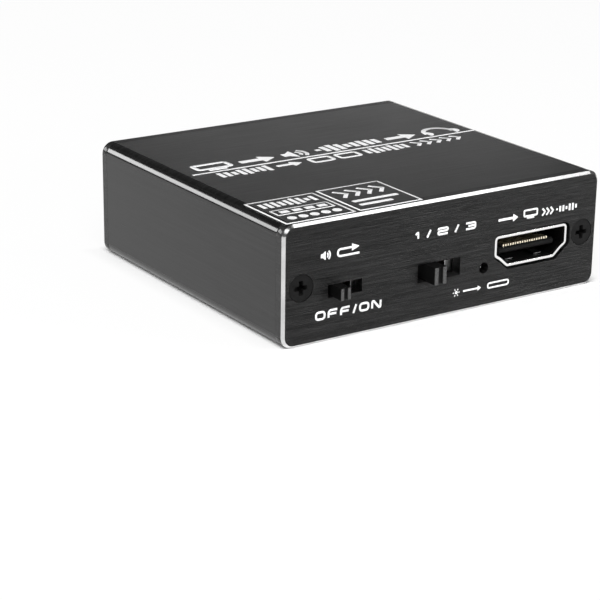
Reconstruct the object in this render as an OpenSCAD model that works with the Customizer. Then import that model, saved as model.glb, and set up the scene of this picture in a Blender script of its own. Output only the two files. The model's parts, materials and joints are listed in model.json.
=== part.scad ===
// Audio extractor box: an extruded sleeve closed by two end panels, with a circuit board that slides
// into the sleeve's guide rails. The input end carries two slide switches, a lamp and a video socket.
// The output end carries power, headphone, optical and video sockets.
// X runs across the case, Y from the input end to the output end, Z up. The origin is on the
// underside, in the middle of the case. Pieces of an end are drawn as seen from outside that end.

/* [Case] */
// Width of the case, across the sockets
case_w = 62; // [54:0.5:80]
// Length of the case, from one end panel's face to the other's
case_d = 57.5; // [54:0.5:80]
// Height of the case
case_h = 19.7; // [18:0.1:26]
// Outer radius of the sleeve's long edges
edge_r = 2; // [1.6:0.1:3]
// Wall of the extruded sleeve
wall_t = 1.5; // [1.2:0.1:1.8]
// Thickness of each end panel
panel_t = 2; // [1.7:0.1:2.3]
// Width of the bright chamfer round each end panel
panel_chamfer = 0.45; // [0.3:0.05:0.8]

/* [Case screws] */
// Distance of each screw's axis from the side of the case
screw_inset = 3.3; // [3.2:0.1:3.7]
// Height of the screws' axes above the underside
screw_z = 9.5; // [9.3:0.1:11]
// Thread diameter of the screws
screw_d = 2.5; // [2:0.1:2.6]
// Diameter of the countersunk heads
screw_head_d = 4.3; // [4:0.1:4.8]
// Length of each screw
screw_l = 8; // [6:0.5:12]

/* [Circuit board] */
// Thickness of the circuit board
board_t = 1.6; // [1.2:0.1:1.8]
// Height of the board's underside above the underside of the case
board_z = 4.1; // [3.8:0.1:4.4]

/* [Video sockets] */
// Outer width of each video socket's steel shell
video_w = 15; // [14.6:0.1:15.6]
// Outer height of the shell
video_h = 5.4; // [5.2:0.1:5.8]
// Length of the shell, front to back
video_l = 11.4; // [10.6:0.1:12.4]

/* [Power socket] */
// Outer width of the power socket's shell
power_w = 7.5; // [7:0.1:7.8]
// Outer height of the shell
power_h = 2.6; // [2.4:0.1:2.9]
// Length of the shell
power_l = 5.4; // [5:0.1:6.5]

/* [Headphone jack] */
// Bore for the plug
jack_bore_d = 3.6; // [3.5:0.05:3.7]
// Width of the jack's moulding
jack_w = 6.4; // [6:0.1:7]
// Height of the moulding, with the bore at half height
jack_h = 4.9; // [4.8:0.1:5.4]
// Length of the moulding behind the panel
jack_l = 12; // [11:0.5:14]
// Diameter of the nose that stands in the panel
jack_nose_d = 4.8; // [4.7:0.05:4.8]

/* [Optical jack] */
// Width of the nose that fills the panel's cut-out
optical_w = 9.6; // [9.2:0.1:10]
// Length of the moulding
optical_l = 13.4; // [13:0.1:15]
// Width of the plug's way in
port_w = 6.3; // [6:0.1:6.8]

/* [Slide switches] */
// Travel of the return switch between its two positions
return_travel = 3; // [2:0.1:3.2]
// Width of the return switch's knob
return_knob_w = 1.85; // [1.5:0.05:2.2]
// Height of the return switch's knob
return_knob_h = 1.9; // [1.6:0.05:2.2]
// Travel of the mode switch over its three positions
mode_travel = 3; // [2.4:0.1:3.6]
// Width of the mode switch's knob
mode_knob_w = 2.35; // [1.8:0.05:2.8]
// Height of the mode switch's knob
mode_knob_h = 2.8; // [2.2:0.05:2.9]
// How far both knobs stand out of the panel
knob_reach = 2.5; // [1.5:0.1:3.5]

/* [Input lamp] */
// Diameter of the lamp
lamp_d = 1.6; // [1.4:0.1:1.8]

/* [Hidden] */
$fn = 48;
full_turn = 360;
half_turn = 180;
quarter_turn = 90;
// Every cut runs this far past the face that it opens
overrun = 0.4;
// Steps in each rounded corner of an outline
corner_steps = 5;
// Places of things that come in pairs, as a sign
sides = [-1, 1];

// Faces and levels that everything else is set from
face_y = -case_d / 2;
panel_inner_y = face_y + panel_t;
board_top = board_z + board_t;

// Sleeve: least radius inside the corners, guide rails and screw channels
least_inner_r = 0.4;
rail_t = 0.9;
rail_reach = 1.1;
rail_gap = 0.1;
channel_wall = 0.9;
channel_slit = 1.2;
thread_gap = 0.04;
channel_r = screw_d / 2 + channel_wall;
screw_x = case_w / 2 - screw_inset;
inner_r = max(edge_r - wall_t, least_inner_r);

// Case screws: head rim, cross recess and the gap round the head
head_rim = 0.25;
head_sink = 0.05;
head_gap = 0.06;
shank_gap = 0.2;
tip_chamfer = 0.4;
recess_reach_share = 0.62;
recess_width_share = 0.17;
recess_depth_share = 0.3;

// Circuit board: gaps to the sleeve and panels, and round every pin
board_side_gap = 0.15;
board_end_gap = 0.3;
pin_gap = 0.1;
pin_below = 0.9;
board_corner_r = 0.8;
board_w = case_w - 2 * (wall_t + board_side_gap);
board_l = case_d - 2 * (panel_t + board_end_gap);
pin_end = -board_t - pin_below;

// Video socket: outline, shell, springs, tongue, contacts and legs
video_recess = 0.4;
video_stand = 0.3;
video_gap = 0.35;
video_shell_t = 0.4;
video_step = [1.0, 0.6];
video_slope = [1.6, 1.4];
video_corner_r = 0.75;
video_fit = 0.03;
video_rear_l = 3.2;
tongue_w = 11.4;
tongue_t = 1.1;
tongue_top = 2.9;
tongue_front = 1.2;
tongue_bevel = 0.3;
leaf_w = 1.5;
leaf_l = 5.2;
leaf_y = 1.6;
leaf_slit = 0.25;
leaf_rise = 0.65;
leaf_lip = 0.3;
leaf_t = 0.22;
leaf_bend_share = 0.35;
leaf_place_share = 0.2;
video_contacts = 19;
video_pitch = 0.5;
video_contact_w = 0.26;
video_contact_t = 0.14;
video_contact_front = 1.5;
video_contact_rise = 0.36;
video_contact_nose = 1.2;
video_foot = 0.8;
video_leg_w = 1.3;
video_leg_places_shares = [0.24, 0.8];

// Power socket: outline, lips, tongue, contacts and legs
power_recess = 0.95;
power_stand = 0.25;
power_gap = 0.3;
power_shell_t = 0.28;
power_slope = [0.85, 0.95];
power_corner_r = 0.4;
power_fit = 0.03;
power_rear_l = 1.6;
power_lip_l = 0.55;
power_lip_rise = 0.25;
power_lip_inset = 1.1;
power_tongue_w = 4.2;
power_tongue_t = 0.6;
power_tongue_drop = 0.35;
power_tongue_front = 0.7;
power_contacts = 5;
power_pitch = 0.65;
power_contact_w = 0.34;
power_contact_t = 0.12;
power_foot = 0.7;
power_leg_w = 1.2;

// Headphone jack: nose, bore, side springs and pins
jack_recess = 0.1;
jack_hole_gap = 0.3;
jack_blind_t = 1.2;
jack_mouth_bevel = 0.25;
jack_spring_w = 1.2;
jack_spring_t = 0.25;
jack_spring_gap = 0.06;
jack_spring_l = 3.6;
jack_spring_shares = [0.12, 0.5];
jack_pin_w = 1;
jack_pin_t = 0.3;

// Optical jack: nose, port, shutter, hinge, spring, light source and pins
optical_roof_gap = 1.8;
optical_floor = 1.85;
optical_recess = 0.4;
optical_gap = 0.12;
optical_shoulder = 0.4;
port_lift = 0.85;
port_roof_t = 0.9;
port_bevel = 1.15;
port_depth = 8.9;
shutter_recess = 1;
shutter_t = 1;
shutter_gap = 0.1;
shutter_boss_w = 2.8;
shutter_boss_t = 0.3;
shutter_boss_margin = 0.9;
hinge_r = 0.3;
hinge_hold = 0.9;
hinge_gap = 0.04;
knuckle_r = 0.6;
coil_turns = 3;
coil_wire_r = 0.1;
coil_gap = 0.05;
coil_pitch = 0.28;
coil_leg = 2.4;
coil_back_leg = 1.1;
coil_steps = 16;
coil_sides = 6;
coil_slot_gap = 0.15;
guide_bore_d = 3.4;
source_w = 5.2;
source_margin = 0.75;
source_l = 2.8;
source_gap = 0.05;
source_lens_r = 1.2;
source_pins = 3;
source_pitch = 2.0;
source_pin_w = 0.5;
source_pin_t = 0.3;
optical_peg_r = 0.7;
optical_peg_share = 0.35;

// Slide switches: cover, slider, base, wiper and terminals
switch_gap = 0.35;
switch_cover_t = 0.3;
switch_side = 1.9;
switch_over = 1.35;
switch_d = 4.6;
switch_base_t = 1.3;
window_gap = 0.15;
slider_gap = 0.06;
slider_t = 1.5;
slider_over = 0.55;
wiper_t = 0.2;
wiper_h = 1;
wiper_w_share = 0.72;
terminal_w = 0.6;
terminal_t = 0.35;
terminal_head = 1.2;
cover_leg_w = 1;
knob_groove_w_share = 0.34;
knob_groove = 0.45;
knob_corner_r = 0.2;
knob_slot_gap = 0.1;
return_axis = 2.42;
mode_axis = 2.2;
return_slot_margin = 0.72;
mode_slot_margin = 1.5;
return_terminals = 3;
mode_terminals = 4;
terminal_pitch = 2;

// Input lamp: gap in the panel, flange, leads
lamp_gap = 0.1;
lamp_axis = 1;
lamp_recess = 0.9;
lamp_l = 3;
lamp_flange_t = 0.4;
lamp_flange = 0.08;
lamp_lead_w = 0.4;
lamp_lead_x = 0.5;
lamp_lead_run = 0.8;

// Chips and loose parts on the board, placed as shares of the free zone between the sockets
zone_gap = 2.2;
channel_gap = 0.25;
chip_stand = 0.1;
chip_h = 1.3;
chip_lead_t = 0.15;
chip_lead_w = 0.24;
chip_lead_out = 1;
chip_lead_knee = 0.3;
chip_corner = 0.5;
chip_dot_r = 0.3;
chip_dot_depth = 0.1;
processor_w = 10;
processor_pitch = 0.5;
processor_leads = 16;
processor_shares = [0.45, 0.52];
control_size = [6.5, 4.4];
control_pitch = 0.65;
control_leads = 10;
control_shares = [0.13, 0.28];
memory_size = [4.9, 3.9];
memory_pitch = 1.27;
memory_leads = 4;
memory_shares = [0.13, 0.74];
converter_size = [8.7, 3.9];
converter_leads = 7;
converter_shares = [0.72, 0.5];
crystal_size = [11, 4.4];
crystal_h = 3.3;
crystal_brim = 0.3;
crystal_shares = [0.7, 0.19];
inductor_w = 5.8;
inductor_h = 2.8;
inductor_corner = 1.3;
inductor_well_r = 2.1;
inductor_well = 0.5;
inductor_shares = [0.91, 0.47];
regulator_size = [6.4, 3.5];
regulator_h = 1.6;
regulator_tab_w = 3;
regulator_pitch = 2.3;
regulator_leg_w = 0.7;
regulator_shares = [0.92, 0.14];
can_r = 2.5;
can_h = 5.3;
can_base_t = 0.7;
can_base_margin = 0.12;
can_base_corner = 0.9;
can_edge = 0.35;
can_neck = 0.2;
can_neck_z = 0.9;
can_places_shares = [[0.58, 0.88], [0.72, 0.88], [0.86, 0.88]];
ceramic_size = [2, 1.25, 1.1];
ceramic_places_shares = [
    [0.27, 0.12], [0.27, 0.27], [0.27, 0.42], [0.27, 0.57], [0.27, 0.72], [0.27, 0.87],
    [0.36, 0.06], [0.42, 0.06], [0.48, 0.06], [0.54, 0.06], [0.66, 0.66], [0.76, 0.66],
];
resistor_size = [1.6, 0.8, 0.45];
resistor_places_shares = [
    [0.33, 0.94], [0.38, 0.94], [0.43, 0.94], [0.48, 0.94], [0.02, 0.15], [0.02, 0.27], [0.02, 0.39],
    [0.02, 0.63], [0.02, 0.75], [0.02, 0.87], [0.83, 0.68], [0.88, 0.68], [0.93, 0.68], [0.98, 0.68],
];
end_cap_share = 0.2;

// Pieces stand in a row between the screw channels, and share out the spare width on both sides of
// each. They are listed from left to right, as seen from outside their end.
panel_room = case_w - 2 * (screw_inset + channel_r);
input_spare_shares = [1.475, 8.8, 3.375, 1.55, 0.7];
output_spare_shares = [0.7, 2.75, 3.6, 2.4, 2.35];
function cover_w(knob_w, travel) = knob_w + travel + 2 * (window_gap + switch_side);
function sum(list, count) = count > 0 ? list[count - 1] + sum(list, count - 1) : 0;
function row_middles(widths, shares) =
    let (spare = panel_room - sum(widths, len(widths)), parts = sum(shares, len(shares))) [
        for (i = [0:len(widths) - 1])
            sum(widths, i) + (widths[i] - panel_room) / 2 + spare * sum(shares, i + 1) / parts
    ];
input_row = row_middles(
    [cover_w(return_knob_w, return_travel), cover_w(mode_knob_w, mode_travel), lamp_d + 2 * lamp_gap, video_w],
    input_spare_shares
);
output_row = row_middles([power_w, jack_w, optical_w + 2 * optical_shoulder, video_w], output_spare_shares);
return_x = input_row[0];
mode_x = input_row[1];
lamp_x = input_row[2];
video_in_x = input_row[3];
power_x = output_row[0];
jack_x = output_row[1];
optical_x = output_row[2];
video_out_x = output_row[3];

// Each switch as [middle, axis above the board, knob width, knob height, travel, slot margin, terminals]
return_switch = [
    return_x, return_axis, return_knob_w, return_knob_h, return_travel, return_slot_margin, return_terminals,
];
mode_switch = [
    mode_x, mode_axis, mode_knob_w, mode_knob_h, mode_travel, mode_slot_margin, mode_terminals,
];
switch_front = panel_inner_y + switch_gap;

// Optical jack's moulding, port and hinge, from the board up and from the nose back
optical_h = case_h - wall_t - optical_roof_gap - board_top;
optical_nose_h = optical_h - optical_floor;
port_floor = optical_floor + port_lift;
port_top = optical_h - port_roof_t;
port_h = port_top - port_floor;
source_h = port_h - 2 * source_margin;
hinge_z = port_top - shutter_gap - knuckle_r;
hinge_y = shutter_recess + shutter_t / 2;
coil_r = hinge_r + coil_gap + coil_wire_r;
coil_half = (coil_turns + 1) * coil_pitch / 2;

// Free zone of the board, between the screw channels and clear of the pieces at both ends
zone_low = [channel_gap - panel_room / 2, face_y + video_recess + video_l + zone_gap];
zone_high = [panel_room / 2 - channel_gap, -face_y - optical_recess - optical_l - zone_gap];
function in_zone(shares) = [for (i = [0:1]) zone_low[i] + shares[i] * (zone_high[i] - zone_low[i])];

// Outline tools. Points run anticlockwise.
function unit(v) = v / norm(v);
function turned(v, a) = [v.x * cos(a) - v.y * sin(a), v.x * sin(a) + v.y * cos(a)];
function outset(pts, g) = let (n = len(pts)) [
    for (i = [0:n - 1])
        let (a = unit(pts[i] - pts[(i + n - 1) % n]), c = unit(pts[(i + 1) % n] - pts[i]))
            let (na = [a.y, -a.x], nc = [c.y, -c.x]) pts[i] + g * (na + nc) / (1 + na * nc)
];
function corner_arc(a, b, c, r) =
    let (u = unit(a - b), v = unit(c - b), half = acos(u * v) / 2)
        let (middle = b + unit(u + v) * r / sin(half), turn = -sign(cross(u, v)) * (half_turn - 2 * half))
            let (start = b + u * r / tan(half) - middle)
                [for (k = [0:corner_steps]) middle + turned(start, turn * k / corner_steps)];
function rounded(pts, r) = let (n = len(pts)) [
    for (i = [0:n - 1]) each corner_arc(pts[(i + n - 1) % n], pts[i], pts[(i + 1) % n], r)
];
function box_outline(w, h) = [[-w / 2, -h / 2], [w / 2, -h / 2], [w / 2, h / 2], [-w / 2, h / 2]];

// Draws its flat shape in X and Z, from one Y to another
module along_y(from, to) {
    translate([0, to, 0]) rotate([quarter_turn, 0, 0]) linear_extrude(to - from) children();
}

// Draws its flat shape in Y and Z, over a width centred on X
module across_x(w) {
    translate([-w / 2, 0, 0]) rotate([quarter_turn, 0, quarter_turn]) linear_extrude(w) children();
}

// Turns what is drawn as seen from outside the output end to its place
module output_end() {
    rotate([0, 0, half_turn]) children();
}

// A rectangle with true round corners, standing on zero
module slab_outline(w, h, r) {
    translate([-w / 2 + r, 0]) square([w - 2 * r, h]);
    translate([-w / 2, r]) square([w, h - 2 * r]);
    for (x = sides, z = [r, h - r]) translate([x * (w / 2 - r), z]) circle(r = r);
}

// Sleeve: one extrusion with guide rails for the board and open channels for the screws
module sleeve_ribs() {
    for (s = sides) {
        translate([s * screw_x, screw_z]) circle(r = channel_r);
        translate([s > 0 ? screw_x : -case_w / 2, screw_z - channel_r])
            square([screw_inset, 2 * channel_r]);
        for (z = [board_z - rail_t, board_top + rail_gap])
            translate([s > 0 ? case_w / 2 - wall_t - rail_reach : -case_w / 2, z])
                square([wall_t + rail_reach, rail_t]);
    }
}

module sleeve_section() {
    difference() {
        slab_outline(case_w, case_h, edge_r);
        difference() {
            translate([0, wall_t]) slab_outline(case_w - 2 * wall_t, case_h - 2 * wall_t, inner_r);
            sleeve_ribs();
        }
        for (s = sides) {
            translate([s * screw_x, screw_z]) circle(r = screw_d / 2 + thread_gap);
            translate([s > 0 ? screw_x - channel_r - overrun : -screw_x, screw_z - channel_slit / 2])
                square([channel_r + overrun, channel_slit]);
        }
    }
}

module housing_sleeve() {
    color([0.13, 0.13, 0.14]) along_y(panel_inner_y, -panel_inner_y) sleeve_section();
}

// End panel: a flat plate with a chamfer all round its outer face. Two runs cross, and a turned disc
// fills each corner.
function half_plate(low, high) = [
    [panel_inner_y, low], [panel_inner_y, high], [face_y + panel_chamfer, high],
    [face_y, high - panel_chamfer], [face_y, low + panel_chamfer], [face_y + panel_chamfer, low],
];

module panel_blank() {
    across_x(case_w - 2 * edge_r) polygon(half_plate(0, case_h));
    translate([0, 0, edge_r]) linear_extrude(case_h - 2 * edge_r)
        polygon([for (p = half_plate(-case_w / 2, case_w / 2)) [p.y, p.x]]);
    for (x = sides, z = [edge_r, case_h - edge_r])
        translate([x * (case_w / 2 - edge_r), face_y, z]) rotate([-quarter_turn, 0, 0]) rotate_extrude()
            polygon([
                [0, 0], [edge_r - panel_chamfer, 0], [edge_r, panel_chamfer], [edge_r, panel_t], [0, panel_t],
            ]);
}

module panel_screw_holes() {
    for (s = sides) translate([s * screw_x, face_y, screw_z]) rotate([-quarter_turn, 0, 0]) {
        cylinder(h = panel_t + overrun, r = screw_d / 2 + shank_gap);
        translate([0, 0, -overrun]) cylinder(h = overrun + head_rim, r = screw_head_d / 2 + head_gap);
        translate([0, 0, head_rim])
            cylinder(h = screw_head_d / 2 + head_gap, r1 = screw_head_d / 2 + head_gap, r2 = 0);
    }
}

// Cuts its flat shape through the panel
module panel_cut(x, z) {
    translate([x, 0, z]) along_y(face_y - overrun, panel_inner_y + overrun) children();
}

module switch_slot(s) {
    slot_w = s[2] + s[4] + 2 * s[5];
    panel_cut(s[0], board_top + s[1])
        polygon(rounded(box_outline(slot_w, s[3] + 2 * knob_slot_gap), knob_slot_gap));
}

module video_cut(x) {
    panel_cut(x, board_top + video_stand)
        polygon(rounded(outset(video_outline(), video_gap), video_corner_r + video_gap));
}

module input_panel() {
    color([0.14, 0.14, 0.15]) difference() {
        panel_blank();
        panel_screw_holes();
        video_cut(video_in_x);
        switch_slot(return_switch);
        switch_slot(mode_switch);
        panel_cut(lamp_x, board_top + lamp_axis) circle(d = lamp_d + 2 * lamp_gap);
    }
}

module output_panel() {
    color([0.14, 0.14, 0.15]) output_end() difference() {
        panel_blank();
        panel_screw_holes();
        video_cut(video_out_x);
        panel_cut(power_x, board_top + power_stand)
            polygon(rounded(outset(power_outline(), power_gap), power_corner_r + power_gap));
        panel_cut(jack_x, board_top + jack_h / 2) circle(d = jack_nose_d + 2 * jack_hole_gap);
        panel_cut(optical_x, board_top + optical_floor + optical_nose_h / 2)
            square([optical_w + 2 * optical_gap, optical_nose_h + 2 * optical_gap], center = true);
    }
}

// Case screw: countersunk head with a cross recess, drawn along Z from the head's face
module cross_recess() {
    reach = screw_head_d / 2 * recess_reach_share;
    depth = screw_head_d * recess_depth_share;
    intersection() {
        translate([0, 0, -overrun]) cylinder(h = depth + overrun, r1 = reach, r2 = reach / 2);
        for (a = [0, quarter_turn]) rotate([0, 0, a])
            cube([screw_head_d, screw_head_d * recess_width_share, 2 * screw_head_d], center = true);
    }
}

module case_screw() {
    head_r = screw_head_d / 2;
    shank_r = screw_d / 2;
    difference() {
        rotate_extrude()
            polygon([
                [0, 0], [head_r, 0], [head_r, head_rim - head_sink],
                [shank_r, head_rim - head_sink + head_r - shank_r], [shank_r, screw_l - tip_chamfer],
                [shank_r - tip_chamfer, screw_l], [0, screw_l],
            ]);
        cross_recess();
    }
}

module end_screws() {
    for (s = sides) translate([s * screw_x, face_y + head_sink, screw_z])
        rotate([-quarter_turn, 0, 0]) case_screw();
}

module input_panel_screws() {
    color([0.1, 0.1, 0.1]) end_screws();
}

module output_panel_screws() {
    color([0.1, 0.1, 0.1]) output_end() end_screws();
}

// Circuit board, with a hole for every leg and pin that goes through it
module circuit_board() {
    color([0.05, 0.3, 0.16]) difference() {
        translate([0, 0, board_z]) linear_extrude(board_t)
            polygon(rounded(box_outline(board_w, board_l), board_corner_r));
        video_legs(video_in_x, pin_gap);
        switch_legs(return_switch, pin_gap);
        switch_legs(mode_switch, pin_gap);
        switch_terminals(return_switch, pin_gap);
        switch_terminals(mode_switch, pin_gap);
        lamp_leads(pin_gap);
        output_end() {
            video_legs(video_out_x, pin_gap);
            power_legs(pin_gap);
            jack_pins(pin_gap);
            optical_pegs(pin_gap);
            source_pins(pin_gap);
        }
    }
}

// Video socket: wide side up, with stepped lower corners. Zero is the shell's front, on its floor.
function video_outline() =
    let (w = video_w / 2, step = w - video_step.x, floor_w = step - video_slope.x)
        let (low = video_slope.y, side = video_slope.y + video_step.y)
            [
                [-floor_w, 0], [floor_w, 0], [step, low], [w, side],
                [w, video_h], [-w, video_h], [-w, side], [-step, low],
            ];

module video_place(x) {
    translate([x, face_y + video_recess, board_top + video_stand]) children();
}

module video_tube(inset, from, to) {
    along_y(from, to) polygon(rounded(outset(video_outline(), -inset), video_corner_r - inset));
}

// Spring leaf that is cut free on three sides and bent into the socket
module leaf_window() {
    translate([-leaf_w / 2 - leaf_slit, 0, -overrun])
        cube([leaf_w + 2 * leaf_slit, leaf_l, video_shell_t + 2 * overrun]);
}

module leaf() {
    bend = leaf_l * leaf_bend_share;
    across_x(leaf_w)
        polygon([
            [leaf_l, 0], [leaf_l + leaf_t, leaf_t], [leaf_l, leaf_t], [bend, leaf_rise + leaf_t],
            [leaf_slit, leaf_rise + leaf_t - leaf_lip], [leaf_slit, leaf_rise - leaf_lip], [bend, leaf_rise],
        ]);
}

module leaf_places() {
    for (s = sides) {
        translate([s * video_w * leaf_place_share, leaf_y, 0]) children();
        translate([s * video_w * leaf_place_share, leaf_y, video_h]) mirror([0, 0, 1]) children();
    }
}

module video_legs(x, grow) {
    side_z = video_slope.y + video_step.y + video_corner_r;
    foot_z = pin_end - video_stand;
    video_place(x) for (s = sides, share = video_leg_places_shares)
        translate([
            s * (video_w - video_shell_t) / 2 - video_shell_t / 2 - grow,
            share * video_l - video_leg_w / 2 - grow, foot_z - grow,
        ]) cube([video_shell_t + 2 * grow, video_leg_w + 2 * grow, side_z - foot_z]);
}

module video_shell(x) {
    video_place(x) {
        difference() {
            video_tube(0, 0, video_l);
            video_tube(video_shell_t, -overrun, video_l + overrun);
            leaf_places() leaf_window();
        }
        leaf_places() leaf();
    }
    video_legs(x, 0);
}

module video_contact_row(w, t, from, to) {
    for (i = [0:video_contacts - 1])
        translate([(i - (video_contacts - 1) / 2) * video_pitch - w / 2, from, tongue_top])
            cube([w, to - from, t]);
}

module video_insulator(x) {
    video_place(x) difference() {
        union() {
            video_tube(video_shell_t + video_fit, video_l - video_rear_l, video_l);
            across_x(tongue_w)
                polygon([
                    [tongue_front, tongue_top - tongue_t + tongue_bevel],
                    [tongue_front + tongue_bevel, tongue_top - tongue_t],
                    [video_l - video_rear_l / 2, tongue_top - tongue_t],
                    [video_l - video_rear_l / 2, tongue_top],
                    [tongue_front + tongue_bevel, tongue_top], [tongue_front, tongue_top - tongue_bevel],
                ]);
        }
        video_contact_row(
            video_contact_w + 2 * video_fit, video_contact_t + video_fit,
            video_l - video_rear_l - video_fit, video_l + overrun
        );
    }
}

module video_contact_set(x) {
    t = video_contact_t;
    back = video_l + video_fit;
    video_place(x) for (i = [0:video_contacts - 1])
        translate([(i - (video_contacts - 1) / 2) * video_pitch, 0, 0]) across_x(video_contact_w)
            polygon([
                [video_contact_front, tongue_top], [back, tongue_top], [back, -video_stand],
                [back + t + video_foot, -video_stand], [back + t + video_foot, t - video_stand],
                [back + t, t - video_stand], [back + t, tongue_top + t],
                [video_contact_front + 2 * video_contact_nose, tongue_top + t],
                [video_contact_front + video_contact_nose, tongue_top + video_contact_rise],
                [video_contact_front, tongue_top + video_contact_rise],
            ]);
}

module video_in_shell() {
    color([0.8, 0.8, 0.8]) video_shell(video_in_x);
}

module video_in_insulator() {
    color([0.08, 0.08, 0.08]) video_insulator(video_in_x);
}

module video_in_contacts() {
    color([0.85, 0.7, 0.35]) video_contact_set(video_in_x);
}

module video_out_shell() {
    color([0.8, 0.8, 0.8]) output_end() video_shell(video_out_x);
}

module video_out_insulator() {
    color([0.08, 0.08, 0.08]) output_end() video_insulator(video_out_x);
}

module video_out_contacts() {
    color([0.85, 0.7, 0.35]) output_end() video_contact_set(video_out_x);
}

// Power socket: a small folded shell with flared lips. Zero is its front, on its floor.
function power_outline() =
    let (w = power_w / 2, floor_w = w - power_slope.x) [
        [-floor_w, 0], [floor_w, 0], [w, power_slope.y], [w, power_h], [-w, power_h], [-w, power_slope.y],
    ];

module power_place() {
    translate([power_x, face_y + power_recess, board_top + power_stand]) children();
}

module power_tube(inset, from, to) {
    along_y(from, to) polygon(rounded(outset(power_outline(), -inset), power_corner_r - inset / 2));
}

module power_lip() {
    across_x(power_w - 2 * (power_slope.x + power_lip_inset - power_slope.x / 2))
        polygon([
            [0, 0], [power_shell_t, 0], [power_shell_t, power_shell_t], [0, power_shell_t],
            [-power_lip_l, power_shell_t - power_lip_rise], [-power_lip_l, -power_lip_rise],
        ]);
}

module power_legs(grow) {
    foot_z = pin_end - power_stand;
    power_place() for (s = sides)
        translate([
            s * (power_w - power_shell_t) / 2 - power_shell_t / 2 - grow,
            power_l / 2 - power_leg_w / 2 - grow, foot_z - grow,
        ]) cube([power_shell_t + 2 * grow, power_leg_w + 2 * grow, power_h / 2 - foot_z]);
}

module power_socket_shell() {
    color([0.75, 0.75, 0.76]) output_end() {
        power_place() {
            difference() {
                power_tube(0, 0, power_l);
                power_tube(power_shell_t, -overrun, power_l + overrun);
            }
            power_lip();
            translate([0, 0, power_h]) mirror([0, 0, 1]) power_lip();
        }
        power_legs(0);
    }
}

module power_socket_insulator() {
    tongue_z = power_h - power_shell_t - power_tongue_drop - power_tongue_t;
    color([0.08, 0.08, 0.08]) output_end() power_place() difference() {
        union() {
            power_tube(power_shell_t + power_fit, power_l - power_rear_l, power_l);
            translate([-power_tongue_w / 2, power_tongue_front, tongue_z])
                cube([power_tongue_w, power_l - power_tongue_front, power_tongue_t]);
        }
        for (i = [0:power_contacts - 1])
            translate([
                (i - (power_contacts - 1) / 2) * power_pitch - power_contact_w / 2 - power_fit,
                power_l - power_rear_l - power_fit, tongue_z - power_contact_t - power_fit,
            ]) cube([power_contact_w + 2 * power_fit, power_rear_l + overrun, power_contact_t + power_fit]);
    }
}

module power_socket_contacts() {
    t = power_contact_t;
    top = power_h - power_shell_t - power_tongue_drop - power_tongue_t;
    back = power_l + power_fit;
    color([0.85, 0.7, 0.35]) output_end() power_place() for (i = [0:power_contacts - 1])
        translate([(i - (power_contacts - 1) / 2) * power_pitch, 0, 0]) across_x(power_contact_w)
            polygon([
                [power_tongue_front, top - t], [back, top - t], [back, -power_stand],
                [back + t + power_foot, -power_stand], [back + t + power_foot, t - power_stand],
                [back + t, t - power_stand], [back + t, top], [power_tongue_front, top],
            ]);
}

// Headphone jack: zero is the nose's face, on the bore's axis
module jack_place() {
    translate([jack_x, face_y + jack_recess, board_top + jack_h / 2]) children();
}

jack_front = panel_t - jack_recess + board_end_gap;
jack_bore_l = jack_front + jack_l - jack_blind_t;
jack_spring_x = jack_bore_d / 2 + jack_spring_gap;

module jack_springs() {
    for (i = [0:1])
        translate([
            sides[i] * (jack_spring_x + jack_spring_t / 2) - jack_spring_t / 2,
            jack_front + jack_spring_shares[i] * jack_l, -jack_spring_w / 2,
        ]) cube([jack_spring_t, jack_spring_l, jack_spring_w]);
}

// Openings from the bore to the springs beside it
module jack_windows() {
    reach = jack_spring_x + jack_spring_t + jack_spring_gap;
    for (i = [0:1])
        translate([
            i * reach - reach, jack_front + jack_spring_shares[i] * jack_l - jack_spring_gap,
            -jack_spring_w / 2 - jack_spring_gap,
        ]) cube([reach, jack_spring_l + 2 * jack_spring_gap, jack_spring_w + 2 * jack_spring_gap]);
}

module jack_pins(grow) {
    foot_z = pin_end - jack_h / 2;
    jack_place() for (i = [0:1])
        translate([
            sides[i] * (jack_spring_x + jack_spring_t / 2) - jack_pin_t / 2 - grow,
            jack_front + jack_spring_shares[i] * jack_l + (jack_spring_l - jack_pin_w) / 2 - grow,
            foot_z - grow,
        ]) cube([jack_pin_t + 2 * grow, jack_pin_w + 2 * grow, 2 * grow - foot_z]);
}

module headphone_jack_body() {
    color([0.06, 0.06, 0.06]) output_end() difference() {
        jack_place() difference() {
            union() {
                translate([-jack_w / 2, jack_front, -jack_h / 2]) cube([jack_w, jack_l, jack_h]);
                rotate([-quarter_turn, 0, 0]) cylinder(h = jack_front + overrun, d = jack_nose_d);
            }
            translate([0, -overrun, 0]) rotate([-quarter_turn, 0, 0])
                cylinder(h = jack_bore_l + overrun, d = jack_bore_d);
            rotate([-quarter_turn, 0, 0]) cylinder(
                h = jack_mouth_bevel, r1 = jack_bore_d / 2 + jack_mouth_bevel, r2 = jack_bore_d / 2
            );
            jack_windows();
        }
        jack_pins(jack_spring_gap);
    }
}

module headphone_jack_springs() {
    color([0.8, 0.75, 0.6]) output_end() {
        jack_place() jack_springs();
        jack_pins(0);
    }
}

// Optical jack: zero is the nose's face, on the board
module optical_place() {
    translate([optical_x, face_y + optical_recess, board_top]) children();
}

optical_body_front = panel_t - optical_recess + board_end_gap;
source_y = optical_l - source_l;
source_z = port_floor + port_h / 2 - source_h / 2;

function port_outline() = [
    [-port_w / 2 + port_bevel, port_floor], [port_w / 2 - port_bevel, port_floor],
    [port_w / 2, port_floor + port_bevel], [port_w / 2, port_top],
    [-port_w / 2, port_top], [-port_w / 2, port_floor + port_bevel],
];

module optical_pegs(grow) {
    optical_place() for (s = sides)
        translate([s * optical_w * optical_peg_share, optical_l / 2, pin_end / 2 - grow])
            cylinder(h = optical_peg_r - pin_end / 2 + grow, r = optical_peg_r + grow);
}

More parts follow.
